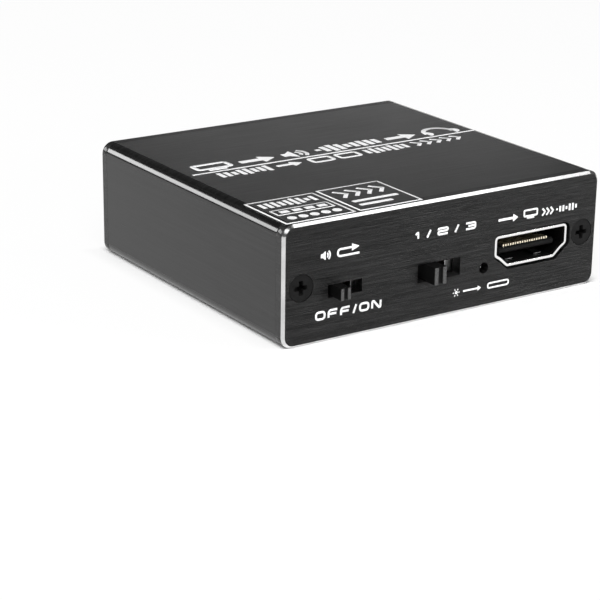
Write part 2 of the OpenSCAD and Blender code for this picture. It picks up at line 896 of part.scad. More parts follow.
module hinge_axis(w, r) {
    translate([-w / 2, hinge_y, hinge_z]) rotate([0, quarter_turn, 0]) cylinder(h = w, r = r);
}

module coil_slot() {
    reach = coil_r + coil_back_leg + coil_slot_gap;
    width = 2 * (coil_wire_r + coil_slot_gap);
    translate([coil_half - width / 2 - coil_pitch / 2, hinge_y - reach, hinge_z])
        cube([width, 2 * reach, optical_h]);
}

module optical_jack_body() {
    color([0.05, 0.05, 0.06]) output_end() {
        optical_place() difference() {
            union() {
                along_y(0, optical_l) translate([-optical_w / 2, optical_floor])
                    square([optical_w, optical_nose_h]);
                along_y(optical_body_front, optical_l) translate([-optical_w / 2 - optical_shoulder, 0])
                    square([optical_w + 2 * optical_shoulder, optical_h]);
            }
            along_y(-overrun, port_depth) polygon(port_outline());
            along_y(0, optical_l + overrun) translate([0, port_floor + port_h / 2])
                circle(d = guide_bore_d);
            along_y(source_y - source_gap, optical_l + overrun)
                translate([-source_w / 2 - source_gap, source_z - source_gap])
                    square([source_w, source_h] + 2 * [source_gap, source_gap]);
            hinge_axis(port_w + 2 * (hinge_hold + hinge_gap), hinge_r + hinge_gap);
            coil_slot();
        }
        optical_pegs(0);
    }
}

// Shutter: a flap that hangs from the hinge pin and swings inwards ahead of the plug
module optical_shutter() {
    w = port_w - 2 * shutter_gap;
    low = port_floor + shutter_gap;
    notch = 2 * (coil_half + shutter_gap);
    flap = outset(port_outline(), -shutter_gap);
    color([0.09, 0.09, 0.11]) output_end() optical_place() difference() {
        union() {
            along_y(shutter_recess, shutter_recess + shutter_t) intersection() {
                polygon(flap);
                translate([-w / 2, low]) square([w, hinge_z - low]);
            }
            hinge_axis(w, knuckle_r);
            translate([-shutter_boss_w / 2, shutter_recess - shutter_boss_t, low + shutter_boss_margin])
                cube([shutter_boss_w, shutter_boss_t, hinge_z - low - 2 * shutter_boss_margin]);
        }
        hinge_axis(port_w, hinge_r + hinge_gap);
        translate([-notch / 2, shutter_recess - overrun, hinge_z - knuckle_r - shutter_gap])
            cube([notch, shutter_t + 2 * overrun, 2 * knuckle_r + 2 * shutter_gap]);
    }
}

module optical_shutter_pin() {
    color([0.7, 0.7, 0.7]) output_end() optical_place() hinge_axis(port_w + 2 * hinge_hold, hinge_r);
}

// Torsion spring: one leg lies on the shutter's back, the other bears up against the port's roof
function coil_point(a) = [
    -coil_half + coil_pitch / 2 + a / full_turn * coil_pitch,
    hinge_y + coil_r * cos(a), hinge_z + coil_r * sin(a),
];
coil_sweep = full_turn * (coil_turns - 1) + 7 * full_turn / 8;
coil_leg_x = -coil_half + coil_pitch / 2;
coil_back = unit([0, -sin(coil_sweep), cos(coil_sweep)]);
coil_offset = shutter_t / 2 + coil_wire_r + coil_gap;
coil_path = concat(
    [
        [coil_leg_x, hinge_y + coil_offset, hinge_z - coil_leg],
        [coil_leg_x, hinge_y + coil_offset, hinge_z - knuckle_r],
    ],
    [for (k = [0:coil_steps * coil_turns]) coil_point(coil_sweep * k / (coil_steps * coil_turns))],
    [coil_point(coil_sweep) + coil_back_leg * coil_back]
);

function ring(p, t, r, n) =
    let (u = unit(cross(t, [1, 0, 0])), v = cross(u, unit(t)))
        [for (k = [0:n - 1]) p + r * (cos(full_turn * k / n) * u + sin(full_turn * k / n) * v)];

module wire(path, r, n) {
    last = len(path) - 1;
    points = [
        for (i = [0:last])
            each ring(path[i], unit(path[min(i + 1, last)] - path[max(i - 1, 0)]), r, n)
    ];
    walls = [
        for (i = [0:last - 1], k = [0:n - 1])
            let (a = i * n + k, b = i * n + (k + 1) % n) each [[a, b, b + n], [a, b + n, a + n]]
    ];
    ends = [
        for (k = [1:n - 2]) each [[0, k + 1, k], [last * n, last * n + k, last * n + k + 1]]
    ];
    polyhedron(points, concat(walls, ends));
}

module optical_shutter_spring() {
    color([0.75, 0.75, 0.75]) output_end() optical_place() wire(coil_path, coil_wire_r, coil_sides);
}

module optical_light_source() {
    color([0.15, 0.12, 0.12]) output_end() optical_place() {
        translate([-source_w / 2, source_y, source_z]) cube([source_w, source_l, source_h]);
        translate([0, source_y, source_z + source_h / 2]) rotate([quarter_turn, 0, 0]) rotate_extrude()
            polygon([
                [0, -source_lens_r], [source_lens_r, -source_lens_r], [source_lens_r, 0],
                [source_lens_r / 2, source_lens_r / 2], [0, source_lens_r / 2],
            ]);
    }
}

module source_pins(grow) {
    t = source_pin_t;
    top = source_z + source_h / 2;
    y = optical_l + source_gap;
    optical_place() for (i = [0:source_pins - 1])
        translate([(i - (source_pins - 1) / 2) * source_pitch, 0, 0])
            across_x(source_pin_w + 2 * grow)
                polygon([
                    [optical_l - grow, top - grow], [y + t, top - grow], [y + t, pin_end - grow],
                    [y + 2 * t + grow, pin_end - grow], [y + 2 * t + grow, top + t + grow],
                    [optical_l - grow, top + t + grow],
                ]);
}

module optical_source_pins() {
    color([0.8, 0.8, 0.8]) output_end() source_pins(0);
}

// Slide switch: zero is the knob's axis in the cover's front face
module switch_place(s) {
    translate([s[0], switch_front, board_top + s[1]]) children();
}

function window_w(s) = s[2] + s[4] + 2 * window_gap;
function switch_w(s) = cover_w(s[2], s[4]);
function slider_w(s) = switch_w(s) - 2 * switch_cover_t - s[4] - 2 * slider_gap;
function switch_top(s) = s[3] / 2 + switch_over;
function rest_x(s) = -s[4] / 2;

module switch_legs(s, grow) {
    foot_z = pin_end - s[1];
    switch_place(s) for (e = sides)
        translate([
            e * (switch_w(s) - switch_cover_t) / 2 - switch_cover_t / 2 - grow,
            (switch_d - cover_leg_w) / 2 - grow, foot_z - grow,
        ]) cube([switch_cover_t + 2 * grow, cover_leg_w + 2 * grow, -foot_z]);
}

module switch_cover(s) {
    w = switch_w(s);
    top = switch_top(s);
    h = top + s[1];
    t = switch_cover_t;
    switch_place(s) difference() {
        translate([-w / 2, 0, -s[1]]) cube([w, switch_d, h]);
        translate([-w / 2 + t, t, -s[1] - overrun]) cube([w - 2 * t, switch_d, h - t + overrun]);
        translate([-window_w(s) / 2, -overrun, -s[3] / 2 - window_gap])
            cube([window_w(s), t + 2 * overrun, s[3] + 2 * window_gap]);
    }
    switch_legs(s, 0);
}

module switch_base(s) {
    w = switch_w(s) - 2 * (switch_cover_t + slider_gap);
    difference() {
        switch_place(s) translate([-w / 2, switch_d - switch_base_t, -s[1]])
            cube([w, switch_base_t, s[1] + switch_top(s) - switch_cover_t - slider_gap]);
        switch_terminals(s, slider_gap);
    }
}

module switch_terminals(s, grow) {
    foot_z = pin_end - s[1];
    switch_place(s) for (i = [0:s[6] - 1])
        translate([
            (i - (s[6] - 1) / 2) * terminal_pitch - terminal_w / 2 - grow,
            switch_d - switch_base_t - grow, foot_z - grow,
        ]) cube([terminal_w + 2 * grow, terminal_t + 2 * grow, terminal_head / 2 - foot_z + 2 * grow]);
}

// Knob: a slider inside the cover, and a grip with a groove down its face
module switch_knob(s) {
    w = s[2];
    groove = w * knob_groove_w_share;
    front = -(panel_t + switch_gap + knob_reach);
    back = switch_cover_t + slider_gap;
    root = back + slider_t / 2;
    grip = [
        [-w / 2, root], [-w / 2, front], [-groove / 2, front], [-groove / 2, front + knob_groove],
        [groove / 2, front + knob_groove], [groove / 2, front], [w / 2, front], [w / 2, root],
    ];
    slider_h = s[3] + 2 * slider_over;
    switch_place(s) translate([rest_x(s), 0, 0]) {
        translate([0, 0, -s[3] / 2]) linear_extrude(s[3])
            polygon(rounded(grip, min(knob_corner_r, groove / 3)));
        translate([-slider_w(s) / 2, back, -slider_h / 2]) cube([slider_w(s), slider_t, slider_h]);
    }
}

// Wiper: a bowed bronze strip that rides on the slider's back and bridges two terminals
module switch_wiper(s) {
    w = slider_w(s) * wiper_w_share;
    back = switch_cover_t + slider_gap + slider_t;
    room = switch_d - switch_base_t - slider_gap - back;
    t = wiper_t;
    switch_place(s) translate([rest_x(s), back, -wiper_h / 2]) linear_extrude(wiper_h)
        polygon([
            [-w / 2, 0], [-w / 6, 0], [0, 0], [w / 6, 0], [w / 2, 0], [w / 2, t],
            [w / 3, room], [w / 3 - t, room], [w / 6, t], [-w / 6, t],
            [-w / 3 + t, room], [-w / 3, room], [-w / 2, t],
        ]);
}

module return_switch_cover() {
    color([0.3, 0.3, 0.31]) switch_cover(return_switch);
}

module return_switch_base() {
    color([0.2, 0.12, 0.08]) switch_base(return_switch);
}

module return_switch_knob() {
    color([0.07, 0.07, 0.07]) switch_knob(return_switch);
}

module return_switch_wiper() {
    color([0.75, 0.5, 0.3]) switch_wiper(return_switch);
}

module return_switch_terminals() {
    color([0.8, 0.8, 0.8]) switch_terminals(return_switch, 0);
}

module mode_switch_cover() {
    color([0.3, 0.3, 0.31]) switch_cover(mode_switch);
}

module mode_switch_base() {
    color([0.2, 0.12, 0.08]) switch_base(mode_switch);
}

module mode_switch_knob() {
    color([0.07, 0.07, 0.07]) switch_knob(mode_switch);
}

module mode_switch_wiper() {
    color([0.75, 0.5, 0.3]) switch_wiper(mode_switch);
}

module mode_switch_terminals() {
    color([0.8, 0.8, 0.8]) switch_terminals(mode_switch, 0);
}

// Input lamp: a small round lamp with bent leads, set in the panel's hole
module lamp_place() {
    translate([lamp_x, face_y + lamp_recess, board_top + lamp_axis]) children();
}

module input_lamp() {
    r = lamp_d / 2;
    color([0.75, 0.78, 0.8]) lamp_place() rotate([-quarter_turn, 0, 0]) {
        intersection() {
            translate([0, 0, r]) sphere(r = r);
            cylinder(h = r, r = r);
        }
        translate([0, 0, r]) cylinder(h = lamp_l - r, r = r);
        translate([0, 0, lamp_l - lamp_flange_t]) cylinder(h = lamp_flange_t, r = r + lamp_flange);
    }
}

module lamp_leads(grow) {
    w = lamp_lead_w;
    y = lamp_l + lamp_lead_run;
    foot_z = pin_end - lamp_axis;
    lamp_place() for (s = sides) translate([s * lamp_lead_x, 0, 0]) across_x(w + 2 * grow)
        polygon([
            [lamp_l, -w / 2 - grow], [y - grow, -w / 2 - grow], [y - grow, foot_z - grow],
            [y + w + grow, foot_z - grow], [y + w + grow, w / 2 + grow], [lamp_l, w / 2 + grow],
        ]);
}

module input_lamp_leads() {
    color([0.8, 0.8, 0.8]) lamp_leads(0);
}

// Chips: a moulded body with a marked corner, and bent leads along two or four sides
module on_board(shares) {
    translate(concat(in_zone(shares), board_top)) children();
}

module chip_body(w, d) {
    translate([0, 0, chip_stand]) difference() {
        linear_extrude(chip_h)
            polygon([
                [-w / 2 + chip_corner, -d / 2], [w / 2, -d / 2], [w / 2, d / 2],
                [-w / 2, d / 2], [-w / 2, -d / 2 + chip_corner],
            ]);
        translate([-w / 2 + 2 * chip_corner, -d / 2 + 2 * chip_corner, chip_h - chip_dot_depth])
            cylinder(h = chip_dot_depth + overrun, r = chip_dot_r);
    }
}

// One row of leads along the side that faces +Y, at a distance from the middle
module lead_row(edge, count, pitch) {
    t = chip_lead_t;
    top = chip_stand + (chip_h + t) / 2;
    knee = chip_lead_knee;
    for (i = [0:count - 1]) translate([(i - (count - 1) / 2) * pitch, edge, 0]) across_x(chip_lead_w)
        polygon([
            [0, top - t], [knee - t / 2, top - t], [2 * knee - t / 2, 0], [chip_lead_out, 0],
            [chip_lead_out, t], [2 * knee + t / 2, t], [knee + t / 2, top], [0, top],
        ]);
}

module lead_pair(depth, count, pitch) {
    for (a = [0, half_turn]) rotate([0, 0, a]) lead_row(depth / 2, count, pitch);
}

module processor_chip() {
    color([0.1, 0.1, 0.1]) on_board(processor_shares) chip_body(processor_w, processor_w);
}

module control_chip() {
    color([0.1, 0.1, 0.1]) on_board(control_shares) chip_body(control_size.x, control_size.y);
}

module memory_chip() {
    color([0.1, 0.1, 0.1]) on_board(memory_shares) chip_body(memory_size.x, memory_size.y);
}

module audio_converter_chip() {
    color([0.1, 0.1, 0.1]) on_board(converter_shares) chip_body(converter_size.x, converter_size.y);
}

module chip_leads() {
    color([0.75, 0.75, 0.75]) {
        on_board(processor_shares) for (a = [0, quarter_turn]) rotate([0, 0, a])
            lead_pair(processor_w, processor_leads, processor_pitch);
        on_board(control_shares) lead_pair(control_size.y, control_leads, control_pitch);
        on_board(memory_shares) lead_pair(memory_size.y, memory_leads, memory_pitch);
        on_board(converter_shares) lead_pair(converter_size.y, converter_leads, memory_pitch);
    }
}

// Clock crystal: an oval can on a brim
module oval(w, d) {
    square([w - d, d], center = true);
    for (s = sides) translate([s * (w - d) / 2, 0]) circle(d = d);
}

module clock_crystal() {
    color([0.75, 0.75, 0.72]) on_board(crystal_shares) {
        linear_extrude(2 * crystal_brim) oval(crystal_size.x, crystal_size.y);
        linear_extrude(crystal_h) oval(crystal_size.x - 2 * crystal_brim, crystal_size.y - 2 * crystal_brim);
    }
}

function cut_corner_outline(w, c) = [
    [-w / 2 + c, -w / 2], [w / 2 - c, -w / 2], [w / 2, -w / 2 + c], [w / 2, w / 2 - c],
    [w / 2 - c, w / 2], [-w / 2 + c, w / 2], [-w / 2, w / 2 - c], [-w / 2, -w / 2 + c],
];

module power_inductor() {
    color([0.2, 0.2, 0.2]) on_board(inductor_shares) difference() {
        linear_extrude(inductor_h) polygon(cut_corner_outline(inductor_w, inductor_corner));
        translate([0, 0, inductor_h - inductor_well]) difference() {
            cylinder(h = inductor_well + overrun, r = inductor_well_r);
            cylinder(h = inductor_well + overrun, r = inductor_well_r / 2);
        }
    }
}

module voltage_regulator() {
    size = regulator_size;
    color([0.1, 0.1, 0.1]) on_board(regulator_shares) {
        translate([-size.x / 2, -size.y / 2, 0]) cube([size.x, size.y, regulator_h]);
        translate([-regulator_tab_w / 2, 0, 0])
            cube([regulator_tab_w, size.y / 2 + chip_lead_out, chip_lead_t * 2]);
        for (i = [-1:1]) translate([i * regulator_pitch - regulator_leg_w / 2, -size.y / 2 - chip_lead_out, 0])
            cube([regulator_leg_w, size.y / 2 + chip_lead_out, chip_lead_t * 2]);
    }
}

// Electrolytic capacitors: a drawn can with a pressed neck, on a square base
module capacitor_cans() {
    color([0.72, 0.73, 0.75]) for (place = can_places_shares) on_board(place)
        translate([0, 0, can_base_t]) rotate_extrude()
            polygon([
                [0, 0], [can_r - can_edge, 0], [can_r, can_edge], [can_r, can_neck_z - can_neck],
                [can_r - can_neck, can_neck_z], [can_r, can_neck_z + can_neck],
                [can_r, can_h - can_base_t - can_edge], [can_r - can_edge, can_h - can_base_t],
                [0, can_h - can_base_t],
            ]);
}

module capacitor_bases() {
    color([0.1, 0.1, 0.1]) for (place = can_places_shares) on_board(place) linear_extrude(can_base_t)
        polygon(cut_corner_outline(2 * (can_r + can_base_margin), can_base_corner));
}

// Ceramic capacitors and resistors: a block between two solder ends
module end_capped_block(size) {
    cap = size.x * end_cap_share;
    rim = size.z * end_cap_share / 2;
    translate([(cap - size.x) / 2, -size.y / 2 + rim, 0]) cube([size.x - cap, size.y - 2 * rim, size.z - rim]);
    for (s = sides) translate([s * (size.x - cap) / 2 - cap / 2, -size.y / 2, 0]) cube([cap, size.y, size.z]);
}

module ceramic_capacitors() {
    color([0.6, 0.45, 0.3]) for (place = ceramic_places_shares) on_board(place) end_capped_block(ceramic_size);
}

module chip_resistors() {
    color([0.12, 0.12, 0.13]) for (place = resistor_places_shares) on_board(place)
        end_capped_block(resistor_size);
}

housing_sleeve();
input_panel();
output_panel();
input_panel_screws();
output_panel_screws();
circuit_board();
video_in_shell();
video_in_insulator();
video_in_contacts();
video_out_shell();
video_out_insulator();
video_out_contacts();
power_socket_shell();
power_socket_insulator();
power_socket_contacts();
headphone_jack_body();
headphone_jack_springs();
optical_jack_body();
optical_shutter();
optical_shutter_pin();
optical_shutter_spring();
optical_light_source();
optical_source_pins();
return_switch_cover();
return_switch_base();
return_switch_knob();
return_switch_wiper();
return_switch_terminals();
mode_switch_cover();
mode_switch_base();
mode_switch_knob();
mode_switch_wiper();
mode_switch_terminals();
input_lamp();
input_lamp_leads();
processor_chip();
control_chip();
memory_chip();
audio_converter_chip();
chip_leads();
clock_crystal();
power_inductor();
voltage_regulator();
capacitor_cans();
capacitor_bases();
ceramic_capacitors();
chip_resistors();
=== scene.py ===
import json
import math

import bmesh
import bpy
from mathutils import Matrix, Vector

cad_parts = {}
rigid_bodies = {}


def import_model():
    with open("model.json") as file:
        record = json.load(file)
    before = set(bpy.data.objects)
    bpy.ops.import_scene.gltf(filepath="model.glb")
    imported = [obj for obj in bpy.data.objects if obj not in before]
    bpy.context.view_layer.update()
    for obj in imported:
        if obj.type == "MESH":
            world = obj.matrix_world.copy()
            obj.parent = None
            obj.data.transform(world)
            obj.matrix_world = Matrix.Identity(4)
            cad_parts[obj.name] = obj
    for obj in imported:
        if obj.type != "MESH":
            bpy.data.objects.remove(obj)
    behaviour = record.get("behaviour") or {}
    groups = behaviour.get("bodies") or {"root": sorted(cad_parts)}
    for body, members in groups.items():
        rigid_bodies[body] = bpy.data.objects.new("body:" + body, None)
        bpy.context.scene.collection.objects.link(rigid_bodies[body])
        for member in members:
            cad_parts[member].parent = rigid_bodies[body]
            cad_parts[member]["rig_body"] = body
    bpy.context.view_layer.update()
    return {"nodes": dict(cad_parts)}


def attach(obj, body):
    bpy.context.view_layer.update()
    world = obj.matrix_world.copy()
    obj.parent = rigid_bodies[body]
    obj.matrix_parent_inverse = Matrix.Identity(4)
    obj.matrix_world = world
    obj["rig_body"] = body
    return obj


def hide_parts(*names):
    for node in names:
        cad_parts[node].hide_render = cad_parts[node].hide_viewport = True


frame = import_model()


# Camera
# The box is seen from its input end, from the left and a little above, with a long lens. The
# camera leans by less than a degree. Lengths are in millimetres here and in every section.
MM = 0.001
CAMERA_PLACE = (-183.72, -263.75, 106.46)
CAMERA_AZIMUTH = -33.551
CAMERA_ELEVATION = 19.301
CAMERA_LEAN = 0.726
SENSOR_WIDTH = 36.0
LENS_LENGTH = 118.74

camera_data = bpy.data.cameras.new("photo_camera")
camera_data.sensor_width = SENSOR_WIDTH
camera_data.lens = LENS_LENGTH
camera = bpy.data.objects.new("photo_camera", camera_data)
bpy.context.scene.collection.objects.link(camera)
camera.matrix_world = (
    Matrix.Translation(Vector(CAMERA_PLACE) * MM)
    @ Matrix.Rotation(math.radians(CAMERA_AZIMUTH), 4, "Z")
    @ Matrix.Rotation(math.radians(90.0 - CAMERA_ELEVATION), 4, "X")
    @ Matrix.Rotation(math.radians(CAMERA_LEAN), 4, "Z")
)
bpy.context.scene.camera = camera
bpy.context.scene.view_settings.view_transform = "Standard"


# Studio
# A white table top in a dim room, with soft boxes round the object. White is what the camera,
# metal and clear plastic see of the table, which still takes the object's shadow. Within a few
# millimetres of the case's foot that white fades out, as a painted contact shadow.
class Wire:
    """A socket of a node tree. Arithmetic on it adds Math nodes."""

    def __init__(self, socket):
        self.socket = socket

    def node(self, kind, inputs=None, out=0, **settings):
        """A node of the same tree. Its settings come first, then its sockets' values or links."""
        tree = self.socket.id_data
        made = tree.nodes.new(kind)
        for key, value in settings.items():
            setattr(made, key, value)
        for key, value in (inputs or {}).items():
            if isinstance(value, Wire):
                tree.links.new(value.socket, made.inputs[key])
            else:
                made.inputs[key].default_value = value
        return Wire(made.outputs[out])

    def math(self, operation, *others):
        """A Math node on this value and the others."""
        values = dict(enumerate((self, *others)))
        return self.node("ShaderNodeMath", values, operation=operation)

    def __add__(self, other):
        return self.math("ADD", other)

    __radd__ = __add__

    def __sub__(self, other):
        return self.math("SUBTRACT", other)

    def __rsub__(self, other):
        return self.node("ShaderNodeMath", {0: other, 1: self}, operation="SUBTRACT")

    def __mul__(self, other):
        return self.math("MULTIPLY", other)

    __rmul__ = __mul__

    def __gt__(self, other):
        return self.math("GREATER_THAN", other)

    def __lt__(self, other):
        return self.math("LESS_THAN", other)

    def __abs__(self):
        return self.math("ABSOLUTE")

    def most(self, other):
        return self.math("MAXIMUM", other)

    def least(self, other):
        return self.math("MINIMUM", other)

    def ease(self, low, high):
        """0 below low, 1 above high, and a smooth rise between them."""
        return self.node(
            "ShaderNodeMapRange", {0: self, 1: low, 2: high}, interpolation_type="SMOOTHSTEP"
        )

    def tint(self, first, second):
        """The first colour where this is 0, and the second where it is 1. A Mix node's colours
        are its inputs 6 and 7, and its output 2."""
        return self.node("ShaderNodeMix", {0: self, 6: first, 7: second}, 2, data_type="RGBA")

    def axes(self):
        """The X, Y and Z of this vector."""
        made = self.node("ShaderNodeSeparateXYZ", {0: self}).socket.node
        return [Wire(output) for output in made.outputs]

    def feed(self, target):
        """Links this to an input of another node."""
        self.socket.id_data.links.new(self.socket, target)


def grey(value):
    return (value, value, value, 1.0)


def ray_kinds(tree, *names):
    """1 for rays of any of these kinds."""
    path = tree.nodes.new("ShaderNodeLightPath")
    seen = Wire(path.outputs[names[0]])
    for name in names[1:]:
        seen = seen.most(Wire(path.outputs[name]))
    return seen


CASE_W = 62.0
CASE_D = 57.5
TABLE_HALF = 3000.0
TABLE_TONE = 0.94
TABLE_ROUGHNESS = 0.9
TABLE_WHITE_SHARE = 0.9
PAINTED_SHADOW_REACH = 3.5

table_white = bpy.data.materials.new("table_white")
table_white.use_nodes = True
table_tree = table_white.node_tree
table_matt = table_tree.nodes["Principled BSDF"]
table_matt.inputs["Base Color"].default_value = grey(TABLE_TONE)
table_matt.inputs["Roughness"].default_value = TABLE_ROUGHNESS
table_matt.inputs["Specular IOR Level"].default_value = 0.0
table_glow = table_tree.nodes.new("ShaderNodeEmission")
table_glow.inputs["Strength"].default_value = 1.0
table_mix = table_tree.nodes.new("ShaderNodeMixShader")
table_seen = ray_kinds(table_tree, "Is Camera Ray", "Is Glossy Ray", "Is Transmission Ray")
table_place = Wire(table_tree.nodes.new("ShaderNodeTexCoord").outputs["Object"])
table_x, table_y, _ = table_place.axes()
# Painted contact shadow: the table's white fades to nothing at the case's outline, by its distance
# from it.
from_case = (abs(table_x) - CASE_W / 2 * MM).most(abs(table_y) - CASE_D / 2 * MM)
(table_seen * TABLE_WHITE_SHARE * from_case.ease(0.0, PAINTED_SHADOW_REACH * MM)).feed(
    table_mix.inputs[0]
)
table_tree.links.new(table_matt.outputs[0], table_mix.inputs[1])
table_tree.links.new(table_glow.outputs[0], table_mix.inputs[2])
table_tree.links.new(table_mix.outputs[0], table_tree.nodes["Material Output"].inputs["Surface"])

table_mesh = bpy.data.meshes.new("table_top")
table_corners = [
    (x * TABLE_HALF * MM, y * TABLE_HALF * MM, 0.0)
    for x, y in ((-1, -1), (1, -1), (1, 1), (-1, 1))
]
table_mesh.from_pydata(table_corners, [], [(0, 1, 2, 3)])
table_mesh.materials.append(table_white)
table = bpy.data.objects.new("table_top", table_mesh)
bpy.context.scene.collection.objects.link(table)

ROOM_LIGHT = 0.09

room = bpy.data.worlds.new("room")
bpy.context.scene.world = room
room.use_nodes = True
room_seen = ray_kinds(room.node_tree, "Is Camera Ray", "Is Transmission Ray")
room_back = room.node_tree.nodes["Background"]
room_back.inputs["Color"].default_value = grey(1.0)
(room_seen * (1.0 - ROOM_LIGHT) + ROOM_LIGHT).feed(room_back.inputs["Strength"])


def soft_box(name, toward, reach, size, power, aim):
    """A rectangular lamp that faces its aim, at reach from it in the direction toward."""
    data = bpy.data.lights.new(name, "AREA")
    data.shape = "RECTANGLE"
    data.size, data.size_y = (side * MM for side in size)
    data.energy = power
    lamp = bpy.data.objects.new(name, data)
    bpy.context.scene.collection.objects.link(lamp)
    lamp.location = (Vector(aim) + Vector(toward).normalized() * reach) * MM
    lamp.rotation_mode = "QUATERNION"
    lamp.rotation_quaternion = (Vector(aim) * MM - lamp.location).to_track_quat("-Z", "Y")
    return lamp


# The key box lights what is matt, and metal doesn't mirror it. Each of the others stands where one
# part of the case mirrors it to the camera: the panel's near corner, the chamfer along its top, the
# sleeve's long edge, the far part of the top, and the panel's face.
key_box = soft_box(
    "key_box", toward=(-0.44, -0.52, 0.74), reach=1100.0, size=(900.0, 700.0), power=14.0,
    aim=(0.0, 0.0, 10.0),
)
key_box.visible_glossy = False
soft_box(
    "corner_box", toward=(-0.46, -0.6, 0.64), reach=600.0, size=(320.0, 320.0), power=0.5,
    aim=(-30.0, -28.0, 19.0),
)
soft_box(
    "overhead_box", toward=(0.52, -0.34, 0.78), reach=420.0, size=(115.0, 130.0), power=0.12,
    aim=(3.0, 0.0, 10.0),
)
soft_box(
    "edge_box", toward=(-0.498, 0.827, 0.252), reach=600.0, size=(250.0, 170.0), power=1.1,
    aim=(-30.0, 0.0, 18.0),
)
soft_box(
    "far_box", toward=(0.56, 0.78, 0.12), reach=420.0, size=(190.0, 60.0), power=0.052,
    aim=(14.0, 34.0, 19.0),
)
soft_box(
    "front_box", toward=(0.62, -0.76, 0.2), reach=430.0, size=(70.0, 160.0), power=0.9,
    aim=(4.0, -29.0, 10.0),
)


# Sleeve
# The case's body is one extruded aluminium tube, sawn to length. Its flats are brushed with a
# belt, the top across and the sides along, and it is anodised black.
CASE_H = 19.7
EDGE_R = 2.0
FINE_STROKES = {"across": 1.0, "along": 1.0, "shift": 0.0}
COARSE_STROKES = {"across": 4.0, "along": 2.2, "shift": 17.0}
FINE_SHARE = 0.55
STROKE_CONTRAST = (0.42, 0.64)
BLACK_TONES = (0.0005, 0.013)
CLOUD_SIZE = (16.0, 16.0, 16.0)
BRUSHED_ROUGHNESS = 0.12
STROKE_ROUGHNESS = 0.4
CLOUD_ROUGHNESS = 0.06
SMOOTH_ROUGHNESS = 0.13
SAME_POINT = 1e-7
SAME_FLAT_ANGLE = 0.4
WORN_FROM_ANGLE = 35.0
WORN_SEGMENTS = 2
SIDE_BAND_SHARES = (0.6, 0.3)
ROUND_EDGE_FADE = 0.08


def start_finish(name, sockets):
    """A material, its shader, and the place on the piece in millimetres."""
    made = bpy.data.materials.new(name)
    made.use_nodes = True
    shader = made.node_tree.nodes["Principled BSDF"]
    for key, value in sockets.items():
        shader.inputs[key].default_value = value
    place = Wire(made.node_tree.nodes.new("ShaderNodeTexCoord").outputs["Object"])
    place = place.node("ShaderNodeMapping", {0: place, "Scale": (1 / MM, 1 / MM, 1 / MM)})
    return made, shader, place


def grain(place, size, detail=2.0, roughness=0.55, shift=0.0):
    """Noise from 0 to 1 whose grains measure size in X, Y and Z."""
    scaled = place.node(
        "ShaderNodeMapping",
        {0: place, "Location": (shift, shift, shift), "Scale": tuple(1.0 / s for s in size)},
    )
    return place.node(
        "ShaderNodeTexNoise",
        {"Vector": scaled, "Scale": 1.0, "Detail": detail, "Roughness": roughness},
    )


def relief(shader, height, depth, strength=1.0):
    """Feeds a height from 0 to 1 to the shader's normal, over this depth."""
    bump = height.node(
        "ShaderNodeBump", {"Strength": strength, "Distance": depth * MM, "Height": height}
    )
    bump.feed(shader.inputs["Normal"])


def brushed_black(name, belts, side_mask, smooth_mask, deep, gloss):
    """Black anodised aluminium, with its shader and its place. Each belt is the size of its fine
    strokes in X, Y and Z. The second belt works where side_mask is 1, and none where smooth_mask
    is 1."""
    made, shader, place = start_finish(name, {"IOR": 1.5, "Specular IOR Level": gloss})
    sides, smooth = side_mask(*place.axes()), smooth_mask(*place.axes())

    def strokes(across, along, shift):
        """Both belts' strokes, so many times as wide and as long."""
        first, second = (
            grain(
                place,
                tuple(side * (along if side > 1.0 else across) for side in belt),
                detail=3.0,
                roughness=0.6,
                shift=shift,
            )
            for belt in belts
        )
        return first * (1.0 - sides) + second * sides

    fine, coarse = strokes(**FINE_STROKES), strokes(**COARSE_STROKES)
    lines = fine * FINE_SHARE + coarse * (1.0 - FINE_SHARE)
    cloud = grain(place, CLOUD_SIZE)
    darkest, palest = (grey(tone) for tone in BLACK_TONES)
    lines.ease(*STROKE_CONTRAST).tint(darkest, palest).feed(shader.inputs["Base Color"])
    brushed = BRUSHED_ROUGHNESS + lines * STROKE_ROUGHNESS + cloud * CLOUD_ROUGHNESS
    (brushed * (1.0 - smooth) + smooth * SMOOTH_ROUGHNESS).feed(shader.inputs["Roughness"])
    relief(shader, lines * (1.0 - smooth), deep)
    return made, shader, place


def worn_copy(node, width):
    """A new piece from a CAD node, with its flats joined and its sharp edges rounded by width."""
    source = frame["nodes"][node]
    name = node + "_dressed"
    mesh = source.data.copy()
    mesh.name = name
    shape = bmesh.new()
    shape.from_mesh(mesh)
    bmesh.ops.remove_doubles(shape, verts=shape.verts, dist=SAME_POINT)
    bmesh.ops.dissolve_limit(
        shape, angle_limit=math.radians(SAME_FLAT_ANGLE), verts=shape.verts, edges=shape.edges
    )
    shape.to_mesh(mesh)
    shape.free()
    mesh.shade_smooth()
    piece = bpy.data.objects.new(name, mesh)
    bpy.context.scene.collection.objects.link(piece)
    edges = piece.modifiers.new("worn_edges", "BEVEL")
    edges.width = width * MM
    edges.segments = WORN_SEGMENTS
    edges.limit_method = "ANGLE"
    edges.angle_limit = math.radians(WORN_FROM_ANGLE)
    edges.use_clamp_overlap = True
    piece.modifiers.new("flat_faces_lead", "WEIGHTED_NORMAL").mode = "FACE_AREA"
    bpy.context.view_layer.update()
    graph = bpy.context.evaluated_depsgraph_get()
    final = bpy.data.meshes.new_from_object(piece.evaluated_get(graph))
    final.name = name
    piece.modifiers.clear()
    piece.data = final
    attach(piece, source["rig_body"])
    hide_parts(node)
    return piece


def dress(piece, material):
    """Gives a piece its finish."""
    piece.data.materials.clear()
    piece.data.materials.append(material)
    return piece


def along_the_sides(x, y, z):
    """1 on the case's left and right side."""
    start, full = (CASE_W / 2 - EDGE_R * share for share in SIDE_BAND_SHARES)
    return abs(x).ease(start, full)


